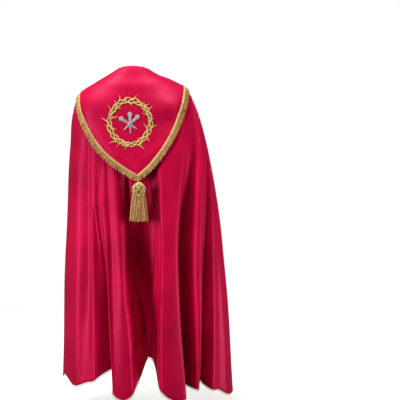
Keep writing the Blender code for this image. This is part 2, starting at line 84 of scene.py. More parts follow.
def linear(hex_colour):
    """Linear red, green and blue of an sRGB hex value."""
    shares = [int(hex_colour[i : i + 2], 16) / 255 for i in (0, 2, 4)]
    return tuple(s / 12.92 if s <= 0.04045 else ((s + 0.055) / 1.055) ** 2.4 for s in shares)


# ---------------- what a user may change
def length_property(name, description, default, low, high):
    """A length in metres that a user may change."""
    return bpy.props.FloatProperty(
        name=name, description=description, default=default, min=low, max=high,
        unit="LENGTH", precision=5)


def colour_property(name, description, hex_colour):
    """A colour that a user may change, set from its sRGB hex value."""
    return bpy.props.FloatVectorProperty(
        name=name, description=description, default=linear(hex_colour), min=0.0, max=1.0,
        subtype="COLOR")


class CopeSizes(bpy.types.PropertyGroup):
    """Sizes of the cope's cloth, threads and cords."""

    cloth: length_property(
        "Satin", "Thickness of the satin with its interlining", 0.0020, 0.001, 0.003)
    crease: bpy.props.FloatProperty(
        name="Crease depth", description="Share of the full depth that the soft creases have",
        default=1.0, min=0.0, max=1.5, subtype="FACTOR")
    fringe_thread: length_property(
        "Fringe thread", "Radius of one thread of the hood's fringe", 0.00065, 0.0003, 0.002)
    fringe_threads: bpy.props.IntProperty(
        name="Threads in a lock", description="Threads that hang from each lock's width of heading",
        default=9, min=3, max=14)
    heading_strand: length_property(
        "Heading strand", "Radius of a strand of the plaited heading", 0.0014, 0.0005, 0.003)
    stitch_spacing: length_property(
        "Stitch spacing", "Distance between neighbouring embroidery stitches",
        0.00085, 0.0004, 0.003)
    stitch_thread: length_property(
        "Stitch thread", "Radius of the embroidery thread", 0.00048, 0.0002, 0.001)
    crown_radius: length_property(
        "Crown radius", "Half-width of the crown of thorns, to the middle of its branches",
        0.083, 0.05, 0.11)
    nail_length: length_property(
        "Nail length", "Length of the upright nail from its head's middle to its point",
        0.082, 0.05, 0.12)
    tassel_thread: length_property(
        "Tassel thread", "Radius of one thread of the tassel's skirt", 0.0013, 0.0005, 0.002)
    piping_strand: length_property(
        "Piping strand", "Radius of each of the two strands of the piping cord",
        0.0011, 0.0005, 0.002)


class CopeColours(bpy.types.PropertyGroup):
    """Colours of the cope's satin and threads."""

    satin: colour_property("Satin", "Colour of the satin where light falls on it", "c8063d")
    satin_deep: colour_property(
        "Satin, deep", "Colour of the satin between its brighter threads", "a4042e")
    fringe: colour_property(
        "Fringe gold", "Colour of the fringe's and the tassel's thread", "e2b06c")
    heading: colour_property("Heading gold", "Colour of the plaited heading", "e0c277")
    embroidery: colour_property(
        "Embroidery gold", "Colour of the crown's embroidery thread", "f0de83")
    silver: colour_property(
        "Embroidery silver", "Colour of the nails' embroidery thread", "d4cfd3")
    piping: colour_property(
        "Piping gold", "Colour of the piping at the hem and the front edges", "d9b45f")
    floor: colour_property("Floor", "Colour of the studio floor", "f6f6f5")


def sizes():
    return bpy.context.scene.cope_sizes


def colours():
    return bpy.context.scene.cope_colours


# ---------------- sizes that the solids share
SEAM_GAP = 0.0003  # pieces lie this far apart where they are sewn
SEAM_LAP = 0.0002  # and the panels this far over each other, so that no light shows between them
HOOD_CLOTH = 0.0020
BRAID = 0.0016  # thickness of the fringe's braid
FIGURE_TURN = 0.15  # the figure stands turned a little, so y falls by this much of x
TURN_FULL_AT = 0.30  # share down where that turn is complete
HOOD_TIP = 3.5  # angle of the hood's point
HOOD_FRONT_SHARE = 0.10  # about how far down the hood reaches at the fronts
HOOD_SIDE = 110.0  # angle past which its columns follow the front edges
HOOD_SETBACK = 1.5  # degrees from the hood's front edge to the body's
HOOD_EASE = 0.0009  # it lies this much further off the body than where it is sewn to it
HOOD_SEWN_TO = 0.02  # share down over which it comes away from the body it is sewn to
HOOD_STAND_OFF = 0.0060  # how far the hood stands off the body at its point
HOOD_STAND_LIMIT = 1.2  # share of the way to its point up to which that grows
HOOD_MIDDLE = 0.18  # share down near the middle of the hood
SETTLE = 12  # a column moves round as it goes down, so its place at an edge is found by repeating
HEADING_WIDTH = 0.009
LOCK_LENGTH = 0.0175
LOCKS_EACH_SIDE = 70
LOCK_DROOP = 0.45  # how much of a lock's direction is straight down
LOCK_HALF = 0.31  # half of a lock's width at its root, as a share of the pitch
LOCK_CLOSING = (0.25, 0.80)  # width of a lock at its tips, as a share of the pitch
LOCK_UNEVEN = 0.05  # how far its threads stray, as a share of the pitch
LOCK_LEAN = 0.22  # spread of the locks' tips to the sides, as a share of the pitch
PIPING_RADIUS = 0.0020
PIPING_EASE = 0.0009  # between the piping and the edge that it follows
CLASP_SHARES = (0.098, 0.132)  # the tab that holds the fronts together, from top to bottom
CLASP_BOW = 0.002
CLASP_REACH = 110  # angle that it stays in front of
CLASP_GRID = (13, 49)  # rows and columns
CLASP_SAMPLES = 400
CLASP_STITCH = 0.0022  # width of the line of stitches
CLASP_STITCH_ROWS = (2, -3)  # near the tab's top and its bottom
CLASP_STITCH_OUT = 0.0002
TASSEL_HEAD_RADIUS = 0.026
TASSEL_HEAD_HEIGHT = 0.054
TASSEL_FLATNESS = 0.80
TASSEL_SKIRT_LENGTH = 0.098
TASSEL_SKIRT_BOTTOM = 0.035  # radius of the skirt at its tips
TASSEL_DROP = 0.024  # from the hood's point down to the top of the head
TASSEL_ASIDE = 0.005  # it hangs this far to the right of the point
TASSEL_ROOT = 0.0035  # how far the loop goes down into the head
TASSEL_PROFILE = {
    "radius": (0.00, 0.30, 0.70, 0.92, 1.00, 0.98, 0.96, 0.95, 0.94, 0.00),
    "down": (0.00, 0.01, 0.13, 0.28, 0.44, 0.62, 0.78, 0.92, 1.00, 1.00),
}
LOOP_RADIUS = 0.0025
LOOP_SEWN_UP = 0.0045  # share down by which the loop starts above the hood's point
LOOP_SLANT = (0.006, 0.003)  # back and up, from the head's top to where it leaves the fringe
NEARBY_ANGLE = 0.25  # steps over which the cloth's directions are measured
NEARBY_SHARE = 0.002
CLOTH_SAMPLES = 4001  # across the cloth, where it is measured along a row
EDGE_SAMPLES = 5001  # along the hood's edge
FRONT_LIMIT = 176  # an angle that the hood's edge never reaches
MITRE_LIMIT = 0.6  # a corner is drawn out no further than one over this
CORNER_LIMIT = 0.4  # and the piping's no further than one over this

# Rings of the unfolded cloth round a general figure. Half-widths and heights in metres.
RINGS = {
    "share_down": (0.000, 0.030, 0.075, 0.120, 0.155, 0.190, 0.300, 0.500, 0.750, 1.000),
    "left_width": (0.077, 0.107, 0.160, 0.211, 0.239, 0.253, 0.265, 0.274, 0.286, 0.296),
    "left_height": (0.006, -0.013, -0.045, -0.079, -0.116, -0.164, -0.308, -0.575, -0.910, -1.280),
    "right_width": (0.078, 0.108, 0.162, 0.216, 0.247, 0.265, 0.306, 0.351, 0.390, 0.417),
    "right_height": (0.010, -0.006, -0.026, -0.056, -0.088, -0.135, -0.282, -0.550, -0.906, -1.329),
    "back_depth": (0.070, 0.080, 0.096, 0.110, 0.120, 0.128, 0.152, 0.196, 0.256, 0.330),
    "back_height": (0.020, -0.018, -0.076, -0.134, -0.184, -0.233, -0.380, -0.645, -0.970, -1.295),
    "front_depth": (0.062, 0.080, 0.104, 0.122, 0.132, 0.140, 0.152, 0.166, 0.190, 0.215),
    "front_height": (-0.062, -0.095, -0.152, -0.208, -0.255, -0.300, -0.440, -0.690, -1.0, -1.3),
    "squareness": (2.0, 2.1, 2.3, 2.5, 2.5, 2.5, 2.5, 2.4, 2.3, 2.2),
}

# The valleys between the hanging folds. Angles and half-widths in degrees, depth, lean and lift in
# metres at the hem, and the share down where each starts.
VALLEY_COLUMNS = ("top", "middle", "hem", "half_top", "half_hem", "depth", "lean", "lift", "start")
VALLEY_SHARES = (0.20, 0.50, 1.00)
VALLEYS = {
    "front_left": (-138, -139, -140, 6, 5, 0.100, 0.00, 0.03, 0.20),
    "side_left_front": (-118, -118, -119, 6, 6, 0.090, 0.00, 0.03, 0.20),
    "side_left_back": (-96, -96, -96, 8, 8, 0.090, 0.00, 0.03, 0.22),
    "left_turn": (-62, -62, -62, 10, 10, 0.000, 0.00, 0.035, 0.22),
    "left_soft_outer": (-39, -38, -36, 7, 8, 0.016, 0.00, 0.041, 0.22),
    "left_soft_inner": (-33, -31, -28.5, 3, 3, 0.010, 0.00, 0.01, 0.22),
    "left_lap": (-33, -29.5, -22.5, 5, 6, 0.100, 0.032, 0.105, 0.45),
    "centre_left_lip": (-5.8, -6.4, 3.0, 3.0, 4, 0.035, 0.00, 0.03, 0.20),
    "centre": (2.0, 3.0, 8.6, 16, 5.7, 0.140, 0.00, 0.120, 0.18),
    "right_lap": (56, 38, 32, 9.5, 3.6, 0.130, 0.00, 0.025, 0.12),
    "right_edge": (84, 57, 42, 4.4, 4.0, 0.060, 0.00, 0.045, 0.24),
    "right_rise": (84, 57, 38.5, 6, 4.0, 0.000, 0.00, 0.020, 0.24),
    "right_soft": (92, 66, 52, 6, 6, 0.012, 0.00, 0.03, 0.24),
    "side_right_back": (106, 102, 99, 7, 7, 0.100, 0.00, 0.03, 0.20),
    "side_right_front": (122, 121, 120, 6, 6, 0.100, 0.00, 0.03, 0.20),
    "front_right": (140, 140, 140, 6, 5, 0.100, 0.00, 0.03, 0.20),
}
MOUTH = 0.07  # the lips of a valley close in on it by this much of its depth
LIP_REACH = 1.7  # how far out the lips close in, in half-widths of the valley
LIFT_REACH = 1.2  # how far out its lift spreads, in the same
OFF_THE_GUIDES = (
    "centre", "centre_left_lip", "left_turn", "left_soft_inner", "right_rise", "right_soft",
)
BACK_SEAM = (9.0, 13.3, 8.6)  # angle of the seam, read as the valleys are
FRONT_EDGE = {
    "share": (0.00, 0.03, 0.06, 0.10, 0.20, 1.00),
    "angle": (150.0, 160.0, 166.0, 170.0, 171.0, 163.0),
}
HOOD_EDGE = {
    "left": {
        "angle": (3.5, -6, -15.5, -25, -33, -41.5, -50, -60, -74, -95, -125, -180),
        "share": (
            0.3535, 0.333, 0.313, 0.288, 0.261, 0.225, 0.193, 0.161, 0.138, 0.120, 0.098, 0.070),
    },
    "right": {
        "angle": (3.5, 8, 13, 19, 26.5, 34.5, 43, 55, 73, 95, 125, 180),
        "share": (
            0.3535, 0.339, 0.322, 0.297, 0.264, 0.227, 0.190, 0.152, 0.128, 0.116, 0.098, 0.070),
    },
}

# ---------------- sizes of the finer form
# Soft creases of the body, laid over its folds. Each keeps near one column of the cloth, named by
# the column's angle at the hem. Angles and half-width in degrees, and the height in millimetres
# out of the cloth, so that a trough is negative.
CREASE_COLUMNS = ("column_above", "column_below", "above", "below", "half", "height")
CREASES = (
    (-151, -151, 0.14, 0.95, 3.0, 3.5),
    (-129, -130, 0.16, 0.85, 2.6, -3.0),
    (-107, -107, 0.17, 1.05, 3.0, 3.5),
    (-80, -79, 0.16, 1.05, 4.0, 3.5),
    (-67, -66, 0.18, 1.05, 3.6, -4.0),
    (-50, -48, 0.17, 1.05, 5.5, 6.0),
    (-37.6, -36.8, 0.16, 1.00, 3.0, -8.0),
    (-24.5, -30.8, 0.24, 1.03, 1.8, 8.0),
    (-18.0, -24.0, 0.22, 0.70, 1.8, -7.0),
    (-18.4, -20.8, 0.26, 0.68, 1.6, 4.0),
    (-16.3, -12.8, 0.24, 1.00, 1.7, -8.0),
    (-11.0, -7.2, 0.24, 1.00, 2.2, 7.0),
    (-5.6, -6.2, 0.24, 0.80, 1.3, -9.0),
    (-6.3, 1.5, 0.56, 1.06, 1.6, -8.0),
    (-1.5, -0.5, 0.30, 0.92, 2.8, 14.0),
    (9.0, 4.0, 0.34, 0.98, 2.4, -12.0),
    (8.0, 6.6, 0.66, 1.05, 1.5, 8.0),
    (11.6, 10.6, 0.26, 1.02, 2.0, -14.0),
    (13.8, 16.0, 0.24, 1.05, 1.7, 6.0),
    (14.2, 16.4, 0.70, 0.78, 0.5, 2.5),
    (15.0, 17.2, 0.72, 0.80, 0.5, -2.5),
    (19.0, 20.0, 0.20, 1.05, 3.6, 4.0),
    (26.0, 26.5, 0.20, 1.05, 2.8, -7.0),
    (36.0, 36.4, 0.20, 1.02, 1.4, 6.0),
    (38.8, 38.8, 0.20, 1.04, 1.3, -5.0),
    (50.5, 48.5, 0.17, 1.05, 3.0, 8.0),
    (66, 65, 0.20, 1.05, 3.6, -4.0),
    (73, 73, 0.15, 0.90, 3.0, 3.5),
    (83, 82, 0.20, 1.05, 3.2, 3.0),
    (91, 91, 0.18, 0.90, 2.6, -3.0),
    (110, 110, 0.16, 1.05, 3.0, 3.5),
    (131, 130, 0.18, 0.90, 2.6, -3.0),
    (151, 150, 0.15, 1.05, 3.0, 3.0),
)
# Slow waves that keep the satin from hanging quite evenly: radians for each degree round and for
# the whole way down, phase, and height in millimetres.
WAVES = ((0.11, 5, 1.3, 0.9), (0.23, -9, 0.4, 0.7), (0.37, 14, 2.2, 0.5), (0.06, 21, 4.0, 0.6))
CREASE_FADE = 0.8  # how gently a crease grows from its ends
CREASE_ABOVE_HOOD_EDGE = 0.10  # share of the hood's depth over which ridges fade under it

# Soft dents and swells of the hood: middle and half-sizes as angle and share down, the share down
# that they slant by for each degree, and height in millimetres.
DENT_COLUMNS = ("angle", "share", "half_angle", "half_share", "slope", "height")
DENTS = (
    (38, 0.160, 17, 0.034, 0.0006, 9.5),
    (33, 0.212, 12, 0.026, 0.0010, -5.0),
    (-42, 0.160, 18, 0.040, -0.0004, 9.0),
    (-13, 0.298, 9, 0.011, 0.0036, 5.0),
    (-3, 0.296, 8, 0.013, 0.0036, -4.0),
    (9, 0.300, 7, 0.014, -0.0030, 3.0),
    (-26, 0.232, 9, 0.014, 0.0030, 2.4),
    (17, 0.252, 7, 0.018, -0.0020, -2.2),
    (2, 0.070, 60, 0.022, 0.0, 2.0),
    (-95, 0.080, 20, 0.018, 0.0, -1.5),
    (100, 0.080, 20, 0.018, 0.0, -1.5),
)
HOOD_CALM_EDGE = 0.86  # share of the hood's depth past which it lies plain under its fringe

PANEL_COLUMNS = {"left": 240, "right": 262}
ROWS_UNDER_HOOD = 12
ROWS_BELOW_HOOD = 150
HOOD_COLUMNS = 200
HOOD_ROWS = 90

# The cut: two quarter circles for the body and a shield for the hood.
NECK_RADIUS = 0.115
CUT_RADIUS = 1.485

WITHIN_ITS_SPACE = (0.2, 0.8)  # where a thorn or a thread of the skirt may stand in its own share
CROWN_MIDDLE = (-0.013, -0.224)  # across and up
CROWN_TALL = 1.10  # its height as a share of its width
BRANCHES = 3
BRANCH_WAVES = 6  # times that each branch swings in and out on its way round
BRANCH_SWING = 0.0084
BRANCH_WIDTH = 0.0046
BRANCH_POINTS = 360
BRANCH_UNEVEN = ((0.18, 2, 1.7), (0.10, 7, 1.0))  # share, waves round it, and phase of each branch
BRANCH_DRIFT = (0.0012, 3, 2.1)  # the same, in metres
BRANCH_SWELL = 0.22  # how much wider it gets as it swings out
BRANCH_SWELL_LEAD = 0.8  # radians of its swing by which that comes early
BRANCH_OVER = 0.0009  # how far a branch rises where it passes over another
THORNS_OUT = 19
THORNS_IN = 12
THORN_LENGTH = (0.018, 0.034)
THORN_WIDTH = (0.0056, 0.0012)  # at the root and at the point
THORN_INNER = 0.85  # length of those that point in, as a share
THORN_HANDS = (0.35, 0.65)  # how likely a thorn is to lean each way round
THORN_LEAN = (0.5, 1.3)  # sideways for each metre out
THORN_BEND = 0.22  # how much of the lean a thorn loses towards its point
THORN_POINTS = 12
STITCH_LIFT = {"thorn": 0.0002, "nail": 0.0009, "nail_head": 0.0006}  # over what lies below each
NAILS = {
    "left": {"head": (-0.035, 0.015), "point": (0.029, -0.027)},
    "right": {"head": (0.030, 0.022), "point": (-0.025, -0.033)},
    "upright": {"head": (0.0005, 0.033), "point": (0.003, -0.049)},
}
NAIL_WIDTH = {"down": (0.0, 0.3, 0.6, 1.0), "width": (0.0125, 0.0115, 0.0090, 0.0010)}
NAIL_HEAD = 0.0079
NAIL_HEAD_RINGS = ((0.52, 1.05), (0.98, 0.42))  # radius and width of its stitches, as shares
NAIL_POINTS = 40
NAIL_HEAD_POINTS = 32
NAIL_UPRIGHT = 0.082  # length of the upright one as given above, from its head's middle
EMBROIDERY_LIFT = 0.0004

SEEDS = {"embroidery": 33, "fringe": 12, "tassel": 7}


# ---------------- curves and the cloth's surface
def along(xs, ys, at):
    """A smooth curve through the points (xs, ys), read at the values at."""
    xs, ys, at = np.asarray(xs, float), np.asarray(ys, float), np.asarray(at, float)
    if xs[0] > xs[-1]:
        xs, ys = xs[::-1], ys[::-1]
    steps = np.diff(xs)
    slopes = np.diff(ys) / steps
    tangents = np.empty_like(xs)
    tangents[0], tangents[-1] = slopes[0], slopes[-1]
    tangents[1:-1] = (slopes[:-1] * steps[1:] + slopes[1:] * steps[:-1]) / (steps[:-1] + steps[1:])
    span = np.clip(np.searchsorted(xs, at, side="right") - 1, 0, len(xs) - 2)
    t = np.clip((at - xs[span]) / steps[span], 0, 1)
    rise = steps[span] * (t * (1 - t) ** 2 * tangents[span] - t * t * (1 - t) * tangents[span + 1])
    return ys[span] * (1 + 2 * t) * (1 - t) ** 2 + ys[span + 1] * t * t * (3 - 2 * t) + rise


def ring(name, share):
    return along(RINGS["share_down"], RINGS[name], share)


def unfolded(angle, share):
    """Points of the cloth before it falls into folds."""
    turn = np.radians(angle)
    sine, cosine = np.sin(turn), np.cos(turn)
    power = ring("squareness", share)
    reach = (np.abs(sine) ** power + np.abs(cosine) ** power) ** (-1 / power)
    width = np.where(sine < 0, ring("left_width", share), ring("right_width", share))
    depth = np.where(cosine > 0, ring("back_depth", share), ring("front_depth", share))
    side = np.where(sine < 0, ring("left_height", share), ring("right_height", share))
    middle = np.where(cosine > 0, ring("back_height", share), ring("front_height", share))
    x = width * reach * sine
    y = -depth * reach * cosine - FIGURE_TURN * x * np.clip(share / TURN_FULL_AT, 0, 1)
    return np.stack([x, y, side + (middle - side) * cosine**2], axis=-1)


def unit(vectors):
    return vectors / np.linalg.norm(vectors, axis=-1, keepdims=True)


def round_and_in(angle, share):
    """The level directions round the wearer and in towards the wearer, at points of the unfolded
    cloth."""
    tangent = unfolded(angle + NEARBY_ANGLE, share) - unfolded(angle - NEARBY_ANGLE, share)
    tangent[..., 2] = 0
    tangent = unit(tangent)
    inward = np.stack([-tangent[..., 1], tangent[..., 0], np.zeros_like(tangent[..., 0])], axis=-1)
    return tangent, inward


def valleys(angle, share):
    """How far the folds move each point in, round and up, in metres."""
    inward, sideways, upward = np.zeros_like(share), np.zeros_like(share), np.zeros_like(share)
    for row in VALLEYS.values():
        valley = dict(zip(VALLEY_COLUMNS, row))
        grown = np.clip((share - valley["start"]) / (1 - valley["start"]), 0, 1)
        centre = along(VALLEY_SHARES, row[:3], share)
        half = valley["half_top"] + (valley["half_hem"] - valley["half_top"]) * grown
        off = (angle - centre) / half
        floor = np.exp(-(off**4))
        lips = off * (1 - floor) * np.exp(-((off / LIP_REACH) ** 4))
        inward += valley["depth"] * grown * floor
        sideways += grown * (valley["lean"] * floor - MOUTH * valley["depth"] * lips)
        upward += valley["lift"] * share * grown * np.exp(-((off / LIFT_REACH) ** 2))
    return inward, sideways, upward


def cloth(angle, share):
    """Points of the cloth's middle surface as it hangs."""
    angle, share = np.broadcast_arrays(np.asarray(angle, float), np.asarray(share, float))
    tangent, inward = round_and_in(angle, share)
    depth, sideways, upward = valleys(angle, share)
    points = unfolded(angle, share) + inward * depth[..., None] + tangent * sideways[..., None]
    points[..., 2] += upward
    return points


def outward(angle, share, surface=unfolded):
    """The direction out of the cloth, square to it."""
    angle, share = np.broadcast_arrays(np.asarray(angle, float), np.asarray(share, float))
    above, below = np.clip(share - NEARBY_SHARE, 0, 1), np.clip(share + NEARBY_SHARE, 0, 1)
    down = surface(angle, below) - surface(angle, above)
    across = surface(angle + NEARBY_ANGLE, share) - surface(angle - NEARBY_ANGLE, share)
    return unit(np.cross(down, across))


# ---------------- where the pieces' edges run
def front_edge(share):
    return along(FRONT_EDGE["share"], FRONT_EDGE["angle"], share)


def hood_edge(angle):
    """The share down where the hood ends."""
    left, right = (along(side["angle"], side["share"], angle) for side in HOOD_EDGE.values())
    return np.where(angle < HOOD_TIP, left, right)


def lengths(points):
    """How far along a line each of its points lies."""
    return np.concatenate([[0], np.cumsum(np.linalg.norm(np.diff(points, axis=0), axis=1))])


def evenly(low, high, cells, share):
    """Angles from low to high, evenly spaced along the cloth at that share down."""
    angles = np.linspace(low, high, CLOTH_SAMPLES)
    length = lengths(cloth(angles, share))
    return np.interp(np.linspace(0, length[-1], cells + 1), length, angles)


def guide_angles(share):
    """Angles of the lines that run down the cloth with its folds and edges, a row for each."""
    rows = [row[:3] for name, row in VALLEYS.items() if name not in OFF_THE_GUIDES] + [BACK_SEAM]
    inner = [along(VALLEY_SHARES, row, share) for row in sorted(rows, key=lambda row: row[2])]
    return np.array([-front_edge(share), *inner, front_edge(share)])


def column_angle(hem_angle, share):
    """The angles, at shares down, of the columns that have these angles at the hem."""
    at_hem, here = guide_angles(np.float64(1)), guide_angles(share)
    span = np.clip(np.searchsorted(at_hem, hem_angle, side="right") - 1, 0, len(at_hem) - 2)
    part = (hem_angle - at_hem[span]) / (at_hem[span + 1] - at_hem[span])
    column = np.arange(len(hem_angle))
    return here[span, column] * (1 - part) + here[span + 1, column] * part


def settled(share, part, angle_at):
    """Angles and shares down of a row under the hood: part is 0 at the neckline, 1 at the hood's
    edge."""
    for _ in range(SETTLE):
        angle = angle_at(share)
        share = part * hood_edge(angle)
    return angle, share


def panel_grid(side):
    """A panel's points: their angles, shares down, and columns' angles at the hem. Its rows fan
    out under the hood, and then run down to the hem."""
    seam, edge = BACK_SEAM[2], float(front_edge(1.0))
    low, high = (-edge, seam) if side == "left" else (seam, edge)
    hem_angle = evenly(low, high, PANEL_COLUMNS[side], 1.0)
    start = np.full_like(hem_angle, HOOD_FRONT_SHARE)
    rows = [
        settled(start, part, lambda share: column_angle(hem_angle, share))
        for part in np.linspace(0, 1, ROWS_UNDER_HOOD + 1)
    ]
    edge_share = rows[-1][1]
    for part in np.linspace(0, 1, ROWS_BELOW_HOOD + 1)[1:]:
        share = edge_share + (1 - edge_share) * part
        rows.append((column_angle(hem_angle, share), share))
    angles, shares = zip(*rows)
    return np.array(angles), np.array(shares), hem_angle


def creases(angle, share, column):
    """How far the soft creases and slow waves stand out of the body, in metres."""
    out = np.zeros_like(share)
    for row in CREASES:
        crease = dict(zip(CREASE_COLUMNS, row))
        part = (share - crease["above"]) / (crease["below"] - crease["above"])
        middle = crease["column_above"] + (crease["column_below"] - crease["column_above"]) * part
        run = np.sin(math.pi * np.clip(part, 0, 1)) ** CREASE_FADE
        out += crease["height"] * run * np.exp(-(((column - middle) / crease["half"]) ** 2))
    for round_rate, down_rate, phase, height in WAVES:
        out += height * np.sin(round_rate * angle + down_rate * share + phase)
    past = (share / hood_edge(angle) - 1 + CREASE_ABOVE_HOOD_EDGE) / CREASE_ABOVE_HOOD_EDGE
    return np.where(out > 0, out * np.clip(past, 0, 1), out) * MM * sizes().crease


def panel_points(side):
    """A panel's grid: its shares down, and its points with their creases."""
    angle, share, column = panel_grid(side)
    out = outward(angle, share, cloth)
    return share, cloth(angle, share) + out * creases(angle, share, column)[..., None]


# ---------------- the hood's surface
def dents(angle, share):
    """How far the hood's soft dents and swells stand out, in metres."""
    out = np.zeros_like(share)
    for row in DENTS:
        dent = dict(zip(DENT_COLUMNS, row))
        round_off = angle - dent["angle"]
        down_off = share - dent["share"] - dent["slope"] * round_off
        out += dent["height"] * np.exp(
            -((round_off / dent["half_angle"]) ** 2) - (down_off / dent["half_share"]) ** 2
        )
    calm = np.clip((1 - share / hood_edge(angle)) / (1 - HOOD_CALM_EDGE), 0, 1)
    return out * calm * np.clip(share / HOOD_SEWN_TO, 0, 1) * MM * sizes().crease


def over_hood(angle, share, out):
    """Points that lie out from the hood's outer face."""
    sewn = (sizes().cloth + HOOD_CLOTH) / 2 + SEAM_GAP
    ease = HOOD_EASE * np.clip(share / HOOD_SEWN_TO, 0, 1)
    part = np.clip(share / HOOD_EDGE["left"]["share"][0], 0, HOOD_STAND_LIMIT)
    loose = HOOD_STAND_OFF * part**2
    swell = np.maximum(dents(angle, share), -ease - loose)
    distance = sewn + ease + loose + swell + HOOD_CLOTH / 2 + out
    return unfolded(angle, share) + outward(angle, share) * distance[..., None]


def hood_edge_at(distances):
    """Angles and shares at distances along the hood's edge from its point, negative to the left.
    Given None, the distances of its two ends."""
    angles = np.linspace(-FRONT_LIMIT, FRONT_LIMIT, EDGE_SAMPLES)
    angles = angles[np.abs(angles) < front_edge(hood_edge(angles)) - HOOD_SETBACK]
    shares = hood_edge(angles)
    length = lengths(unfolded(angles, shares))
    length -= np.interp(HOOD_TIP, angles, length)
    if distances is None:
        return length[0], length[-1]
    return np.interp(distances, length, angles), np.interp(distances, length, shares)


def slide(angle, share, direction, distance):
    """Angles and shares of the points reached by going along the cloth, in a direction, for a
    distance."""
    across = unfolded(angle + NEARBY_ANGLE, share) - unfolded(angle - NEARBY_ANGLE, share)
    down = unfolded(angle, share + NEARBY_SHARE) - unfolded(angle, share - NEARBY_SHARE)
    across, down = across / (2 * NEARBY_ANGLE), down / (2 * NEARBY_SHARE)
    aa, dd, ad = (across * across).sum(-1), (down * down).sum(-1), (across * down).sum(-1)
    step = direction * np.asarray(distance)[..., None]
    a, d = (across * step).sum(-1), (down * step).sum(-1)
    spread = aa * dd - ad * ad
    return angle + (dd * a - ad * d) / spread, share + (aa * d - ad * a) / spread


def off_the_edge(distances, pitch):
    """Along the hood's edge: angles and shares, the way off it in the cloth, and the stretch at
    its point."""
    angle, share = hood_edge_at(distances)
    here = unfolded(angle, share)
    back = unit(here - unfolded(*hood_edge_at(distances - pitch)))
    ahead = unit(unfolded(*hood_edge_at(distances + pitch)) - here)
    way = unit(np.cross(back + ahead, outward(angle, share)))
    mitre = 1 / np.clip(np.linalg.norm(back + ahead, axis=-1) / 2, MITRE_LIMIT, 1)
    return angle, share, way, mitre


def on_hood(across, up, out):
    """Points out from the hood's face at these places across and up, and the way out there."""
    angle, share = np.zeros_like(across), np.full_like(across, HOOD_MIDDLE)
    for _ in range(SETTLE):
        here = over_hood(angle, share, 0.0)
        round_step = (over_hood(angle + NEARBY_ANGLE, share, 0.0) - here) / NEARBY_ANGLE
        down_step = (over_hood(angle, share + NEARBY_SHARE, 0.0) - here) / NEARBY_SHARE
        miss_x, miss_z = across - here[..., 0], up - here[..., 2]
        spread = round_step[..., 0] * down_step[..., 2] - round_step[..., 2] * down_step[..., 0]
        angle = angle + (miss_x * down_step[..., 2] - miss_z * down_step[..., 0]) / spread
        share = share + (round_step[..., 0] * miss_z - round_step[..., 2] * miss_x) / spread
    return over_hood(angle, share, out), outward(angle, share)


# ---------------- nodes and materials
def add(tree, kind, inputs=None, **settings):
    """Adds a node with its settings. Each of its inputs takes a value, or the socket that it links
    from."""
    node = tree.nodes.new(kind)
    for name, value in settings.items():
        setattr(node, name, value)
    for name, value in (inputs or {}).items():
        if isinstance(value, bpy.types.NodeSocket):
            tree.links.new(value, node.inputs[name])
        else:
            node.inputs[name].default_value = value
    return node


def wire(tree, kind, inputs=None, output=0, **settings):
    """Adds a node, and gives the socket of one of its outputs."""
    return add(tree, kind, inputs, **settings).outputs[output]


def maths(tree, operation, first, second=0.0):
    return wire(tree, "ShaderNodeMath", {0: first, 1: second}, operation=operation)


def vector_maths(tree, operation, first, second=(0, 0, 0)):
    inputs = {0: first, "Scale" if operation == "SCALE" else 1: second}
    return wire(tree, "ShaderNodeVectorMath", inputs, operation=operation)


def noise(tree, vector, size, detail):
    """Soft blotches, some size metres across."""
    return wire(tree, "ShaderNodeTexNoise", {"Vector": vector, "Scale": 1 / size, "Detail": detail})


def ribs(tree, vector, pitch, distortion):
    """Slanting ribs that repeat every pitch metres along each axis, as the texture does every
    tau / 10 at a scale of 1."""
    inputs = {"Vector": vector, "Scale": math.tau / 10 / pitch, "Distortion": distortion}
    return wire(tree, "ShaderNodeTexWave", inputs, "Fac", bands_direction="DIAGONAL")


def remap(tree, value, low, high, to_low, to_high, **settings):
    """The value with its range low to high moved to another range."""
    inputs = {0: value, 1: low, 2: high, 3: to_low, 4: to_high}
    return wire(tree, "ShaderNodeMapRange", inputs, **settings)


def blend(tree, share, first, second):
    """A colour between two others. They are inputs 6 and 7 of the node, and the colour output 2."""
    inputs = {0: share, 6: opaque(first), 7: opaque(second)}
    return wire(tree, "ShaderNodeMix", inputs, 2, data_type="RGBA")


def bump(tree, height, strength, distance, **below):
    """Relief of this height, over the Normal of what lies below it, if that is given."""
    inputs = {"Strength": strength, "Distance": distance, "Height": height, **below}
    return wire(tree, "ShaderNodeBump", inputs)


def new_material(name):
    """A material, its emptied node tree, and the place on the object that its patterns follow."""
    material = bpy.data.materials.get(name) or bpy.data.materials.new(name)
    material.use_nodes = True
    tree = material.node_tree
    tree.nodes.clear()
    return material, tree, wire(tree, "ShaderNodeTexCoord", output="Object")


def shade(tree, inputs):
    """Ends a material's tree with a shader that has these inputs."""
    surface = wire(tree, "ShaderNodeBsdfPrincipled", inputs)
    add(tree, "ShaderNodeOutputMaterial", {"Surface": surface})


def opaque(colour):
    return (*colour, 1.0)


SATIN_SLUB = (1 / 0.0022, 1 / 0.16, 1)  # a slub is a thread or two wide, 2 mm, and some 160 mm long
SATIN_GLEAM = (1.0, 0.05, 0.26)  # light that passes through the dyed floats comes back pink
SATIN_CLOUDS = 0.2  # size of the patches where the dye looks deeper
SATIN_RUMPLE = 1 / 16  # size of the slight unevenness all over
SATIN_RIB = 0.0026  # twill of the satin face, about six times as coarse as the real 0.3 mm
SATIN_TONES = (0.75, 1.25)  # slubs and clouds together, from the deep tone to the bright one
SATIN_BUMPS = {"twill": (0.10, 0.0002), "slubs": (0.25, 0.0004), "rumple": (0.35, 0.004)}


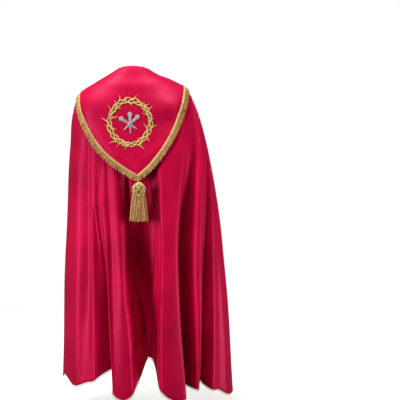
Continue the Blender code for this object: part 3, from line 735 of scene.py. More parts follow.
def duchesse_satin():
    """Heavy polyester duchesse satin, woven warp-faced: its long floats give broad soft lights on
    the ridges, a deep tone in the valleys, a pinkish edge where it turns away, and faint streaks
    along the warp."""
    material, tree, place = new_material("duchesse_satin_red")
    cut = wire(tree, "ShaderNodeUVMap", uv_map="cut")
    warp = wire(tree, "ShaderNodeMapping", {"Vector": cut, "Scale": SATIN_SLUB})
    slubs = noise(tree, warp, 1.0, 3.0)
    clouds = noise(tree, place, SATIN_CLOUDS, 2.0)
    tone = remap(tree, maths(tree, "ADD", slubs, clouds), *SATIN_TONES, 0.0, 1.0)
    twill = bump(tree, ribs(tree, cut, SATIN_RIB, 0.4), *SATIN_BUMPS["twill"])
    threads = bump(tree, slubs, *SATIN_BUMPS["slubs"], Normal=twill)
    rumple = noise(tree, place, SATIN_RUMPLE, 3.0)
    shade(tree, {
        "Base Color": blend(tree, tone, colours().satin_deep, colours().satin),
        "Roughness": remap(tree, slubs, 0.3, 0.7, 0.40, 0.50),
        "Normal": bump(tree, rumple, *SATIN_BUMPS["rumple"], Normal=threads),
        "Tangent": wire(tree, "ShaderNodeTangent", direction_type="UV_MAP", uv_map="cut"),
        "Anisotropic": 0.4,
        "IOR": 1.53, "Specular IOR Level": 0.6, "Specular Tint": opaque(SATIN_GLEAM),
        "Sheen Weight": 0.02, "Sheen Roughness": 0.35, "Sheen Tint": opaque(linear("ff5c8c")),
    })
    return material


THREAD_SPOTS = 1 / 420  # size of the spots where the film is worn
THREAD_PATCHES = 1 / 60  # and of the patches over which its tone drifts
# A piece that keeps no tone of its own falls near the dark end of these: painted shade.
THREAD_TONES = (0.9, 1.9)  # spots, patches and the thread's own tone together, from dark to bright
THREAD_ROUGH = 0.08  # how much smoother and rougher a thread is in its spots
THREAD_BUMP = (0.5, 0.0002)
# The threads' finishes. Dark is the share of its colour that a thread has in its spots, and ply
# the metres along each axis from one of its plies to the next.
THREADS = {
    # Metallised gold film wound on a core, as in fringes: warm glints on a browner ground.
    "gold_bullion_thread": {
        "colour": "fringe", "dark": 0.5, "metallic": 0.3, "rough": 0.38, "ply": 0.0018},
    # The same film, plaited tight for the heading: paler and evener than the fringe.
    "gold_braid_thread": {
        "colour": "heading", "dark": 0.65, "metallic": 0.2, "rough": 0.36, "ply": 0.0020},
    # Trilobal rayon embroidery thread: a pale, silky line with small bright lights.
    "gold_rayon_embroidery": {
        "colour": "embroidery", "dark": 0.62, "metallic": 0.15, "rough": 0.32, "ply": 0.0016},
    # Silver-grey rayon, cooler and duller than the gold.
    "silver_rayon_embroidery": {
        "colour": "silver", "dark": 0.45, "metallic": 0.25, "rough": 0.34, "ply": 0.0016},
    # Two-ply gold cotton and film cord: a thin pale-gold line with a matt ground.
    "gold_piping_cord": {
        "colour": "piping", "dark": 0.6, "metallic": 0.25, "rough": 0.45, "ply": 0.0024},
}


def thread(name):
    """Twisted thread. Each strand has its own tone, kept on its mesh. A piece that keeps none, the
    tassel's form and the heading's tape, comes out darker: painted shade for where they lie under
    the knot and the plait.
    """
    look = THREADS[name]
    colour, rough = getattr(colours(), look["colour"]), look["rough"]
    material, tree, place = new_material(name)
    strands = noise(tree, place, THREAD_SPOTS, 1.0)
    spots = maths(tree, "ADD", strands, noise(tree, place, THREAD_PATCHES, 2.0))
    # With no tone kept on the mesh this reads 0, which darkens the thread as painted shade.
    own = wire(tree, "ShaderNodeAttribute", output="Fac", attribute_name="tone")
    tone = remap(tree, maths(tree, "ADD", spots, own), *THREAD_TONES, 0.0, 1.0)
    shade(tree, {
        "Base Color": blend(tree, tone, [channel * look["dark"] for channel in colour], colour),
        "Normal": bump(tree, ribs(tree, place, look["ply"], 1.5), *THREAD_BUMP),
        "Roughness": remap(tree, strands, 0.0, 1.0, rough - THREAD_ROUGH, rough + THREAD_ROUGH),
        "Metallic": look["metallic"],
    })
    return material


# ---------------- meshes and objects
def show(made, slot, *nodes):
    """Puts a piece in the scene, on the one body, in place of the solids it stands for."""
    bpy.context.scene.collection.objects.link(made)
    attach(made, BODY)
    if nodes:
        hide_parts(*nodes)
    return made


def sheet(name, points, cut, thickness, material):
    """A wall through rows of points. Its UV map is its place in the flat cut, in metres."""
    index = np.arange(points[..., 0].size).reshape(points.shape[:2])
    quads = np.stack([index[:-1, :-1], index[1:, :-1], index[1:, 1:], index[:-1, 1:]], axis=-1)
    data = bpy.data.meshes.new(name)
    data.from_pydata(points.reshape(-1, 3).tolist(), [], quads.reshape(-1, 4).tolist())
    data.uv_layers.new(name="cut").data.foreach_set("uv", cut.reshape(-1, 2)[quads.ravel()].ravel())
    data.shade_smooth()
    data.materials.append(material)
    made = bpy.data.objects.new(name, data)
    wall = made.modifiers.new("wall", "SOLIDIFY")
    wall.thickness, wall.offset = thickness, 0
    return made


def guide(name, lines):
    """Edges along lines, each a dict of its points, its other values there, and whether it is
    closed."""
    data = bpy.data.meshes.new(name)
    points, edges = [], []
    for line in lines:
        first, count = len(points), len(line["points"])
        points.extend(line["points"].tolist())
        edges.extend((first + i, first + i + 1) for i in range(count - 1))
        if line.get("closed"):
            edges.append((first + count - 1, first))
    data.from_pydata(points, edges, [])
    for value in [key for key in lines[0] if key not in ("points", "closed")]:
        joined = np.concatenate([np.asarray(line[value], float) for line in lines])
        kind, field = ("FLOAT_VECTOR", "vector") if joined.ndim == 2 else ("FLOAT", "value")
        data.attributes.new(value, kind, "POINT").data.foreach_set(field, joined.ravel())
    return data


def grow(name, lines, tree, values):
    """The plain mesh that a tree makes along lines, with the tree's named inputs set."""
    holder = bpy.data.objects.new(name + "_guide", guide(name, lines))
    bpy.context.scene.collection.objects.link(holder)
    modifier = holder.modifiers.new(tree.name, "NODES")
    modifier.node_group = tree
    for item in tree.interface.items_tree:
        if item.in_out == "INPUT" and item.name in values:
            modifier[item.identifier] = values[item.name]
    bpy.context.view_layer.update()
    evaluated = holder.evaluated_get(bpy.context.evaluated_depsgraph_get())
    data = bpy.data.meshes.new_from_object(evaluated)
    bpy.data.meshes.remove(holder.data)
    if not data.polygons:
        raise RuntimeError(f"{name} came out empty")
    data.name = name
    return bpy.data.objects.new(name, data)


def new_tree(name, lengths_and_shares, counts):
    """A geometry tree with its named inputs, and what they give."""
    old = bpy.data.node_groups.get(name)
    if old:
        bpy.data.node_groups.remove(old)
    tree = bpy.data.node_groups.new(name, "GeometryNodeTree")
    numbers = {**dict.fromkeys(lengths_and_shares, "Float"), **dict.fromkeys(counts, "Int")}
    for label, kind in {"Guide": "Geometry", **numbers, "Material": "Material"}.items():
        tree.interface.new_socket(label, in_out="INPUT", socket_type="NodeSocket" + kind)
    tree.interface.new_socket("Pieces", in_out="OUTPUT", socket_type="NodeSocketGeometry")
    return tree, add(tree, "NodeGroupInput").outputs


def finish_tree(tree, geometry, material):
    """Ends a tree: instances made real, smooth shading, and the material set."""
    real = wire(tree, "GeometryNodeRealizeInstances", {0: geometry})
    smooth = wire(tree, "GeometryNodeSetShadeSmooth", {0: real})
    finished = wire(tree, "GeometryNodeSetMaterial", {0: smooth, "Material": material})
    add(tree, "NodeGroupOutput", {0: finished})
    return tree


def toned(tree, geometry, seed, domain):
    """The geometry with a random tone kept on each of its strands."""
    inputs = {"Geometry": geometry, "Name": "tone", "Value": random_value(tree, 0.0, 1.0, seed, 5)}
    return wire(tree, "GeometryNodeStoreNamedAttribute", inputs, data_type="FLOAT", domain=domain)


def attribute(tree, name, kind="FLOAT_VECTOR"):
    return wire(tree, "GeometryNodeInputNamedAttribute", {"Name": name}, data_type=kind)


def random_value(tree, low, high, seed, order):
    """A random value for each point, from the tree's seed and the order in which it is drawn.
    Inputs 2 and 3 of the node are the range of a float, and 8 is the seed."""
    inputs = {2: low, 3: high, 8: maths(tree, "ADD", seed, float(order))}
    return wire(tree, "FunctionNodeRandomValue", inputs, 1, data_type="FLOAT")


def unevenly(tree, given, length, order):
    """A length, drawn longer or shorter by up to the share Uneven."""
    shorter, longer = (maths(tree, way, 1.0, given["Uneven"]) for way in ("SUBTRACT", "ADD"))
    drawn = random_value(tree, shorter, longer, given["Seed"], order)
    return maths(tree, "MULTIPLY", length, drawn)


def xyz(tree, **parts):
    return wire(tree, "ShaderNodeCombineXYZ", parts)


def evened(tree, given):
    """The guide as curves, with points spaced evenly along them."""
    curve = wire(tree, "GeometryNodeMeshToCurve", {0: given["Guide"]})
    inputs = {"Curve": curve, "Length": given["Spacing"]}
    return wire(tree, "GeometryNodeResampleCurve", inputs, mode="LENGTH")


def bowed(tree, resolution, start, middle, end):
    """A line that bows out in its middle."""
    inputs = {"Resolution": resolution, "Start": start, "Middle": middle, "End": end}
    return wire(tree, "GeometryNodeCurveQuadraticBezier", inputs)


def swept(tree, curve, sides, radius):
    """A round strand along a curve."""
    inputs = {"Resolution": sides, "Radius": radius}
    section = wire(tree, "GeometryNodeCurvePrimitiveCircle", inputs)
    inputs = {"Curve": curve, "Profile Curve": section, "Fill Caps": True}
    return wire(tree, "GeometryNodeCurveToMesh", inputs)


def on_points(tree, given, points, piece, axes, tilt, scale):
    """The piece on each point, with two of its axes along directions there, then tilted and
    scaled."""
    (first, along_first), (second, along_second) = axes
    kind = "FunctionNodeAlignRotationToVector"
    turned = wire(tree, kind, {"Vector": along_first}, axis=first)
    inputs = {"Rotation": turned, "Vector": along_second}
    turned = wire(tree, kind, inputs, axis=second, pivot_axis="Z")
    inputs = {"Rotation": turned, "Rotate By": wire(tree, "FunctionNodeEulerToRotation", {0: tilt})}
    turned = wire(tree, "FunctionNodeRotateRotation", inputs, rotation_space="LOCAL")
    inputs = {"Points": points, "Instance": piece, "Rotation": turned, "Scale": scale}
    placed = wire(tree, "GeometryNodeInstanceOnPoints", inputs)
    return finish_tree(tree, toned(tree, placed, given["Seed"], "INSTANCE"), given["Material"])


STITCH_STRAY = 0.12  # radians that a stitch strays from its slant


def stitch_tree():
    """Satin stitches side by side along a guide, each an arched thread as long as the guide is
    wide there."""
    lengths_and_shares = ("Spacing", "Thread", "Arch", "Slant", "Uneven")
    tree, given = new_tree("satin_stitches", lengths_and_shares, ("Seed",))
    line = bowed(tree, 4, (-0.5, 0, 0), xyz(tree, Z=given["Arch"]), (0.5, 0, 0))
    axes = (("Z", attribute(tree, "face")), ("Y", wire(tree, "GeometryNodeInputTangent")))
    stray = random_value(tree, -STITCH_STRAY, STITCH_STRAY, given["Seed"], 1)
    slant = maths(tree, "ADD", given["Slant"], stray)
    reach = unevenly(tree, given, attribute(tree, "width", "FLOAT"), 2)
    return on_points(
        tree, given, evened(tree, given), swept(tree, line, 4, given["Thread"]), axes,
        xyz(tree, Z=slant), xyz(tree, X=reach, Y=1.0, Z=1.0),
    )


def laid_tree():
    """Strands twisted or plaited along a guide: each swings across and, at beats times the rate,
    out."""
    lengths_and_shares = ("Across", "Out", "Pitch", "Beats", "Shift", "Radius", "Spacing")
    tree, given = new_tree("laid_strands", lengths_and_shares, ("Strands", "Sides"))
    inputs = {"Geometry": evened(tree, given), "Amount": given["Strands"]}
    copies = add(tree, "GeometryNodeDuplicateElements", inputs, domain="SPLINE").outputs
    gone = wire(tree, "GeometryNodeSplineParameter", output="Length")
    turns = maths(tree, "DIVIDE", gone, given["Pitch"])
    start = maths(tree, "DIVIDE", copies["Duplicate Index"], given["Strands"])
    phase = maths(tree, "MULTIPLY", maths(tree, "ADD", turns, start), math.tau)
    face = attribute(tree, "face")
    side = vector_maths(tree, "CROSS_PRODUCT", wire(tree, "GeometryNodeInputTangent"), face)
    swing = maths(tree, "MULTIPLY", maths(tree, "SINE", phase), given["Across"])
    beat = maths(tree, "ADD", maths(tree, "MULTIPLY", phase, given["Beats"]), given["Shift"])
    rise = maths(tree, "MULTIPLY", maths(tree, "SINE", beat), given["Out"])
    across = vector_maths(tree, "SCALE", vector_maths(tree, "NORMALIZE", side), swing)
    offset = vector_maths(tree, "ADD", across, vector_maths(tree, "SCALE", face, rise))
    placed = wire(tree, "GeometryNodeSetPosition", {"Geometry": copies[0], "Offset": offset})
    own = toned(tree, placed, given["Strands"], "CURVE")
    return finish_tree(tree, swept(tree, own, given["Sides"], given["Radius"]), given["Material"])


def hanging_tree():
    """Threads that hang from the guide's points along their way, each bowed a little and cut
    unevenly."""
    lengths_and_shares = ("Thread", "Bow", "Spread", "Uneven")
    tree, given = new_tree("hanging_threads", lengths_and_shares, ("Segments", "Seed"))
    line = bowed(tree, given["Segments"], (0, 0, 0), xyz(tree, X=given["Bow"], Z=0.5), (0, 0, 1))
    way = attribute(tree, "way")
    wide = maths(tree, "MULTIPLY", given["Spread"], -1.0)
    tilt = xyz(
        tree,
        X=random_value(tree, wide, given["Spread"], given["Seed"], 1),
        Y=random_value(tree, wide, given["Spread"], given["Seed"], 2),
        Z=random_value(tree, -math.pi, math.pi, given["Seed"], 3),
    )
    full = wire(tree, "ShaderNodeVectorMath", {0: way}, "Value", operation="LENGTH")
    return on_points(
        tree, given, given["Guide"], swept(tree, line, 4, given["Thread"]),
        (("Z", way), ("X", attribute(tree, "face"))), tilt,
        xyz(tree, X=1.0, Y=1.0, Z=unevenly(tree, given, full, 4)),
    )


TWIST = {"Beats": 1.0, "Shift": math.pi / 2}
PLAIT = {"Beats": 2.0, "Shift": 0.0}


# ---------------- the pieces
def flat_cut(turn, share):
    """Places in the flat cut, at angles round it in radians and shares down."""
    radius = NECK_RADIUS + share * (CUT_RADIUS - NECK_RADIUS)
    return np.stack([radius * np.sin(turn), -radius * np.cos(turn)], axis=-1)


def make_panel(side):
    """One quarter-circle panel of the body, from the centre-back seam to a front edge."""
    share, points = panel_points(side)
    quarter = math.pi / 2
    ends, seam, beside_it = ((-quarter, 0), -1, -2) if side == "left" else ((0, quarter), 0, 1)
    points[:, seam] -= unit(points[:, beside_it] - points[:, seam]) * SEAM_LAP
    cut = flat_cut(np.linspace(*ends, share.shape[1]), share)
    panel = sheet(f"body_{side}", points, cut, sizes().cloth, duchesse_satin())
    show(panel, "satin", f"cope_{side}")


def make_hood():
    """The hood: a flap sewn in at the neckline, over the shoulders and down to its point."""
    reach = front_edge(HOOD_FRONT_SHARE) - HOOD_SETBACK
    columns = np.concatenate([
        evenly(-reach, HOOD_TIP, HOOD_COLUMNS // 2, HOOD_FRONT_SHARE)[:-1],
        evenly(HOOD_TIP, reach, HOOD_COLUMNS // 2, HOOD_FRONT_SHARE),
    ])

    def angle_at(share):
        fronts = (front_edge(share) - HOOD_SETBACK - HOOD_SIDE) / (reach - HOOD_SIDE)
        past = np.clip(np.abs(columns) - HOOD_SIDE, 0, None) * (fronts - 1)
        return columns + np.sign(columns) * past

    rows = [
        settled(np.full_like(columns, part * HOOD_FRONT_SHARE), part, angle_at)
        for part in np.linspace(0, 1, HOOD_ROWS + 1)
    ]
    points = np.array([over_hood(*row, -HOOD_CLOTH / 2) for row in rows])
    cut = flat_cut(np.radians(columns), np.array([share for _, share in rows]))
    hood = sheet("hood_flap", points, cut, HOOD_CLOTH, duchesse_satin())
    return show(hood, "hood_satin", "hood")


def branch_line(number):
    """One branch of the crown: across, up, lift and width at points round it."""
    turn = np.linspace(0, math.tau, BRANCH_POINTS + 1)[:-1]
    phase = BRANCH_WAVES * turn + number * math.tau / BRANCHES
    first, second, drift = (
        size * np.sin(waves * turn + shift * number)
        for size, waves, shift in (*BRANCH_UNEVEN, BRANCH_DRIFT)
    )
    radius = sizes().crown_radius + BRANCH_SWING * (1 + first + second) * np.sin(phase) + drift
    lift = EMBROIDERY_LIFT + BRANCH_OVER * (1 + np.sin(2 * phase))
    width = BRANCH_WIDTH * (1 + BRANCH_SWELL * np.sin(phase + BRANCH_SWELL_LEAD + number))
    return radius * np.sin(turn), CROWN_TALL * radius * np.cos(turn), lift, width


def thorn_lines(draw):
    """Thorns off the branches, outwards and inwards, each a short curved spike."""
    lines = []
    steps = np.linspace(0, 1, THORN_POINTS)[:, None]
    for count, way, share in ((THORNS_OUT, 1, 1.0), (THORNS_IN, -1, THORN_INNER)):
        for number in range(count):
            across, up, lift, _ = branch_line(number % BRANCHES)
            at = int(len(across) * (number + draw.uniform(*WITHIN_ITS_SPACE)) / count)
            start = np.array([across[at], up[at]])
            radial = start / np.linalg.norm(start) * way
            sweep = np.array([radial[1], -radial[0]]) * draw.choice([-1, 1], p=THORN_HANDS)
            heading = unit(radial + draw.uniform(*THORN_LEAN) * sweep)
            length = draw.uniform(*THORN_LENGTH) * share
            bend = (radial - heading * (radial @ heading)) * THORN_BEND
            path = start + length * (heading * steps + bend * steps**2)
            width = THORN_WIDTH[0] + (THORN_WIDTH[1] - THORN_WIDTH[0]) * steps[:, 0]
            height = np.full(THORN_POINTS, lift[at] + STITCH_LIFT["thorn"])
            lines.append((path[:, 0], path[:, 1], height, width, False))
    return lines


def nail_lines():
    """The three crossed nails: tapered shafts, and heads stitched round."""
    lines = []
    steps = np.linspace(0, 1, NAIL_POINTS)[:, None]
    turn = np.linspace(0, math.tau, NAIL_HEAD_POINTS + 1)[:-1]
    for number, nail in enumerate(NAILS.values()):
        scale = sizes().nail_length / NAIL_UPRIGHT
        head, point = np.array(nail["head"]) * scale, np.array(nail["point"]) * scale
        path = head + (point - head) * steps
        width = along(NAIL_WIDTH["down"], NAIL_WIDTH["width"], steps[:, 0])
        lift = EMBROIDERY_LIFT + STITCH_LIFT["nail"] * number
        lines.append((path[:, 0], path[:, 1], np.full(NAIL_POINTS, lift), width, False))
        for radius, wide in NAIL_HEAD_RINGS:
            rim = head[:, None] + NAIL_HEAD * radius * np.array([np.sin(turn), np.cos(turn)])
            height = np.full(NAIL_HEAD_POINTS, lift + STITCH_LIFT["nail_head"])
            lines.append((*rim, height, np.full(NAIL_HEAD_POINTS, NAIL_HEAD * wide), True))
    return lines


def stitched(name, lines, material, slant, seed):
    """Embroidery on the hood, from lines of across, up, lift, width and whether they are closed."""
    made = []
    for across, up, lift, width, closed in lines:
        points, face = on_hood(CROWN_MIDDLE[0] + across, CROWN_MIDDLE[1] + up, lift)
        made.append({"points": points, "face": face, "width": width, "closed": closed})
    return show(grow(name, made, stitch_tree(), {
        "Spacing": sizes().stitch_spacing, "Thread": sizes().stitch_thread, "Arch": 0.0016,
        "Slant": slant, "Uneven": 0.06, "Seed": seed, "Material": material,
    }), "hood_satin")


def make_embroidery():
    """The crown of thorns and its three nails, worked in satin stitch on the hood."""
    draw = np.random.default_rng(SEEDS["embroidery"])
    branches = [(*branch_line(number), True) for number in range(BRANCHES)]
    lines = branches + thorn_lines(draw)
    return [
        stitched("crown_of_thorns", lines, thread("gold_rayon_embroidery"), 0.5, seed=5),
        stitched("three_nails", nail_lines(), thread("silver_rayon_embroidery"), 0.25, seed=9),
    ]


def make_heading(distances, pitch, lift):
    """The tape along the hood's edge and the plait sewn on it."""
    angle, share, way, mitre = off_the_edge(distances, pitch)
    inner, middle = (slide(angle, share, way, -HEADING_WIDTH * mitre * part) for part in (1, 0.5))
    points = np.stack([over_hood(*inner, lift), over_hood(angle, share, lift)])
    cut = np.stack(np.meshgrid(distances, (0.0, HEADING_WIDTH)), axis=-1)
    # The tape keeps no tone of its own, so its thread comes out darker: painted shade under the
    # plait.
    tape = sheet("heading_tape", points, cut, BRAID / 2, thread("gold_braid_thread"))
    line, face = over_hood(*middle, lift + BRAID / 4), outward(*middle)
    tip = int(np.argmin(np.abs(distances)))
    halves = [
        {"points": line[part], "face": face[part]} for part in (slice(tip + 1), slice(tip, None))
    ]
    strand = sizes().heading_strand
    plait = grow("heading_plait", halves, laid_tree(), {
        "Strands": 3, "Across": HEADING_WIDTH / 2 - strand, "Out": strand * 0.55,
        "Pitch": 0.0125, "Radius": strand, "Sides": 5, "Spacing": 0.0010,
        "Material": thread("gold_braid_thread"), **PLAIT,
    })
    return [show(tape, "gold_fringe"), show(plait, "gold_fringe")]


def make_fringe():
    """The heading along the hood's edge, and the fringe that hangs from it."""
    pitch = min(np.abs(hood_edge_at(None))) / (LOCKS_EACH_SIDE + 0.5)
    ends = np.array([-1, 1]) * (LOCKS_EACH_SIDE + LOCK_HALF) * pitch
    lift = BRAID / 2 + SEAM_GAP
    distances = np.linspace(*ends, 4 * (2 * LOCKS_EACH_SIDE + 1))
    heading = make_heading(np.sort(np.append(distances, 0.0)), pitch / 4, lift)

    draw = np.random.default_rng(SEEDS["fringe"])
    locks = np.arange(-LOCKS_EACH_SIDE, LOCKS_EACH_SIDE + 1)[:, None] * pitch
    count = sizes().fringe_threads
    places = (np.arange(count) + 0.5) / count - 0.5
    lines = []
    for height in (lift - BRAID / 4, lift + BRAID / 4):
        stray = draw.uniform(-LOCK_UNEVEN, LOCK_UNEVEN, (len(locks), count))
        roots = locks + (places + stray) * pitch
        closing = draw.uniform(*LOCK_CLOSING, (len(locks), 1))
        lean = draw.normal(0, LOCK_LEAN, (len(locks), 1)) * pitch
        stray = draw.normal(0, LOCK_UNEVEN, roots.shape)
        tips = locks + lean + (roots - locks) * closing + stray * pitch
        roots, tips = np.clip(roots.ravel(), *ends), np.clip(tips.ravel(), *ends)
        angle, share, _, _ = off_the_edge(roots, pitch)
        end_angle, end_share, end_way, _ = off_the_edge(tips, pitch)
        drop = unit(end_way + np.array([0, 0, -LOCK_DROOP]))
        root = over_hood(angle, share, height)
        end = over_hood(*slide(end_angle, end_share, drop, np.full(len(tips), LOCK_LENGTH)), height)
        lines.append({"points": root, "way": end - root, "face": outward(angle, share)})
    fringe = grow("hood_fringe_threads", lines, hanging_tree(), {
        "Thread": sizes().fringe_thread, "Bow": 0.0006, "Spread": 0.06, "Uneven": 0.15,
        "Segments": 3, "Seed": 4, "Material": thread("gold_bullion_thread"),
    })
    return [*heading, show(fringe, "gold_fringe", "hood_fringe")]


def beside(line, way, distance):
    """Points at a distance off a line, square to it, on the side that way points to."""
    steps = unit(np.diff(line, axis=0))
    before, after = np.vstack([steps[:1], steps]), np.vstack([steps, steps[-1:]])
    run = unit(before + after)
    way = unit(way - run * (way * run).sum(-1, keepdims=True))
    lean = np.minimum(*(np.linalg.norm(np.cross(way, step), axis=-1) for step in (before, after)))
    return line + way * (distance / np.clip(lean, CORNER_LIMIT, 1))[:, None]


def face_out(points):
    """The way out of a grid of points, at each of them."""
    return unit(np.cross(np.gradient(points, axis=0), np.gradient(points, axis=1)))


def make_piping():
    """The two-ply cord sewn down one front edge, round the hem and up the other."""
    left, right = (panel_points(side)[1] for side in ("left", "right"))
    hem, above = (np.concatenate([left[row], right[row][1:]]) for row in (-1, -2))
    off = PIPING_RADIUS + SEAM_GAP + PIPING_EASE
    bottom = beside(hem, hem - above, off)
    left_edge = beside(left[:, 0], left[:, 0] - left[:, 1], off)
    right_edge = beside(right[:, -1], right[:, -1] - right[:, -2], off)
    bottom[0] += left_edge[-1] - left[-1, 0]
    bottom[-1] += right_edge[-1] - right[-1, -1]
    line = np.concatenate([left_edge[:-1], bottom, right_edge[-2::-1]])
    left, right = face_out(left), face_out(right)
    face = np.concatenate([left[:-1, 0], left[-1], right[-1][1:], right[-2::-1, -1]])
    strand = sizes().piping_strand
    cord = grow("piping_cord", [{"points": line, "face": face}], laid_tree(), {
        "Strands": 2, "Across": PIPING_RADIUS - strand, "Out": PIPING_RADIUS - strand,
        "Pitch": 0.009, "Radius": strand, "Sides": 4, "Spacing": 0.0012,
        "Material": thread("gold_piping_cord"), **TWIST,
    })
    show(cord, "gold_piping", "piping")


def make_tab():
    """The tab that crosses from one front to the other, with stitches along its top and bottom."""
    low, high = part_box("clasp_tab")
    half = sizes().cloth / 2
    levels = np.linspace(*CLASP_SHARES, CLASP_GRID[0])
    across = np.linspace(low[0] + half, high[0] - half, CLASP_GRID[1])[::-1]
    rows = []
    for level in levels:
        edge, fronts = float(front_edge(level)), []
        for ends in ((-CLASP_REACH, -edge), (edge, CLASP_REACH)):
            angles = np.linspace(*ends, CLASP_SAMPLES)
            way = outward(angles, np.full_like(angles, level))
            fronts.append(cloth(angles, level) + way * (PIPING_RADIUS + SEAM_GAP + half))
        left, right = fronts[0][-1, 0], fronts[1][0, 0]
        line = np.concatenate(fronts)
        row = np.stack([np.interp(across, line[:, 0], line[:, axis]) for axis in range(3)], axis=-1)
        row[:, 1] += CLASP_BOW * np.sin(math.pi * np.clip((across - left) / (right - left), 0, 1))
        rows.append(row)
    points = np.array(rows)
    flat, drop = across - across[-1], (levels - levels[0]) * (CUT_RADIUS - NECK_RADIUS)
    cut = np.stack(np.meshgrid(flat, drop), axis=-1)
    tab = sheet("clasp_tab_cloth", points, cut, sizes().cloth, duchesse_satin())
    show(tab, "satin", "clasp_tab")
    face = face_out(points)
    lines = [
        {
            "points": points[row] + face[row] * (half + CLASP_STITCH_OUT), "face": face[row],
            "width": np.full(len(across), CLASP_STITCH),
        }
        for row in CLASP_STITCH_ROWS
    ]
    show(grow("tab_stitches", lines, stitch_tree(), {
        "Spacing": 0.0032, "Thread": 0.0003, "Arch": 0.0006, "Slant": math.pi / 2, "Uneven": 0.05,
        "Seed": 2, "Material": duchesse_satin(),
    }), "satin")


def hood_point(up):
    """A point on the outer face of the fringe's braid, this share up from the hood's point."""
    angle = np.array([HOOD_TIP])
    return over_hood(angle, hood_edge(angle) - up, BRAID + 2 * SEAM_GAP)[0]


def tassel_top():
    """The top of the tassel's head, under the hood's point."""
    depth = TASSEL_HEAD_RADIUS * TASSEL_FLATNESS + SEAM_GAP
    return hood_point(0.0) + np.array([TASSEL_ASIDE, -depth, -TASSEL_DROP])


def round_tassel(turn):
    """The level way out from the tassel's middle, at turns round it."""
    return np.stack([np.sin(turn), -np.cos(turn) * TASSEL_FLATNESS, np.zeros_like(turn)], axis=-1)


def head_place(turn, part, lift):
    """Points at turns round the tassel's head and parts down its profile, and the way out of it
    there."""
    knots = np.linspace(0, 1, len(TASSEL_PROFILE["radius"]))
    step = 0.5 / len(knots)
    (radius, wider, narrower), (down, higher, lower) = (
        [along(knots, values, np.clip(part + move, 0, 1)) for move in (0, -step, step)]
        for values in (TASSEL_PROFILE["radius"], TASSEL_PROFILE["down"])
    )
    fall, shrink = (lower - higher) * TASSEL_HEAD_HEIGHT, (wider - narrower) * TASSEL_HEAD_RADIUS
    around = round_tassel(turn)
    way = unit(around * fall[..., None] + np.array([0, 0, 1.0]) * shrink[..., None])
    points = tassel_top() + around * (radius * TASSEL_HEAD_RADIUS)[..., None]
    points[..., 2] -= down * TASSEL_HEAD_HEIGHT
    return points + way * np.asarray(lift)[..., None], way


HEAD_COVER = 0.0036  # depth of the knot over the form inside it
HEAD_SIDES = 40
HEAD_RINGS = 40


def from_bmesh(name, shape, material):
    """An object made of a bmesh, which is freed."""
    data = bpy.data.meshes.new(name)
    shape.to_mesh(data)
    shape.free()
    data.materials.append(material)
    return bpy.data.objects.new(name, data)


def turned_head():
    """The padded form inside the tassel's knotted cover."""
    head, rings = bmesh.new(), []
    turn = np.linspace(0, math.tau, HEAD_SIDES + 1)[:-1]
    for part in np.linspace(0.0, 1.0, HEAD_RINGS)[1:-1]:
        points, _ = head_place(turn, np.full(HEAD_SIDES, part), -HEAD_COVER)
        rings.append([head.verts.new(point) for point in points])
    top, bottom = (
        head.verts.new(tassel_top() - np.array([0, 0, down]))
        for down in (HEAD_COVER, TASSEL_HEAD_HEIGHT)
    )
    for i in range(HEAD_SIDES):
        after = (i + 1) % HEAD_SIDES
        for upper, lower in zip(rings, rings[1:]):
            head.faces.new((upper[i], lower[i], lower[after], upper[after]))
        head.faces.new((top, rings[0][i], rings[0][after]))
        head.faces.new((bottom, rings[-1][after], rings[-1][i]))
    bmesh.ops.recalc_face_normals(head, faces=head.faces)
    # The form keeps no tone of its own, so its thread comes out darker: painted shade under the
    # knot.
    form = from_bmesh("tassel_form", head, thread("gold_bullion_thread"))
    form.data.shade_smooth()
    return form


KNOT_STRANDS = 7  # of the turk's head each way round
KNOT_TURN = 2.1  # radians that a strand goes round on its way down
KNOT_TOP = 0.09  # share down the head's profile where the knot starts
KNOT_SIDES = 0.56  # where it ends at the sides
KNOT_POINTS = 0.30  # how much lower it comes to its points
KNOT_WEAVE = 0.0011
KNOT_DEPTH = 0.0012  # its middle lies this far in from the head's full width
KNOT_STRAND = 0.0015
KNOT_PASSES = (-1, 1)  # each strand is laid twice, side by side
KNOT_SAMPLES = 60
KNOT_EDGE_SAMPLES = 96


def knot_end(turn):
    """The share down the head where the knot ends: it comes to a point at the front and at the
    back."""
    return KNOT_SIDES + KNOT_POINTS * (1 - np.abs(np.sin(turn)))


def knot_lines():
    """The strands of the turk's head knot, which cross over and under, and the cord round its
    end."""
    lines = []
    reach = np.linspace(0, 1, KNOT_SAMPLES)
    crossings = KNOT_STRANDS * KNOT_TURN / math.pi
    for number in range(KNOT_STRANDS):
        for hand in (-1, 1):
            for side in KNOT_PASSES:
                beside_it = side * KNOT_STRAND * math.sqrt(2) / TASSEL_HEAD_RADIUS
                start = math.tau * number / KNOT_STRANDS
                turn = start + hand * KNOT_TURN * (reach - 0.5) + beside_it
                part = KNOT_TOP + (knot_end(turn) - KNOT_TOP) * reach
                over = KNOT_WEAVE * hand * np.sin(math.pi * crossings * reach)
                points, way = head_place(turn, part, over - KNOT_DEPTH)
                lines.append({"points": points, "face": way})
    turn = np.linspace(0, math.tau, KNOT_EDGE_SAMPLES + 1)[:-1]
    points, way = head_place(turn, knot_end(turn), -KNOT_DEPTH / 2)
    lines.append({"points": points, "face": way, "closed": True})
    return lines


SKIRT_ROOT = (0.06, 0.0045)  # its threads start this far up from the knot's end and in
SKIRT_RINGS = ((96, 1.00), (84, 0.86), (60, 0.66), (36, 0.40))  # threads, and share of the radius
SKIRT_DRIFT = 0.0022  # spread of their tips
SKIRT_CUT = (0.93, 1.01)  # their lengths, as shares of the full one
LOOP_SAMPLES = 40


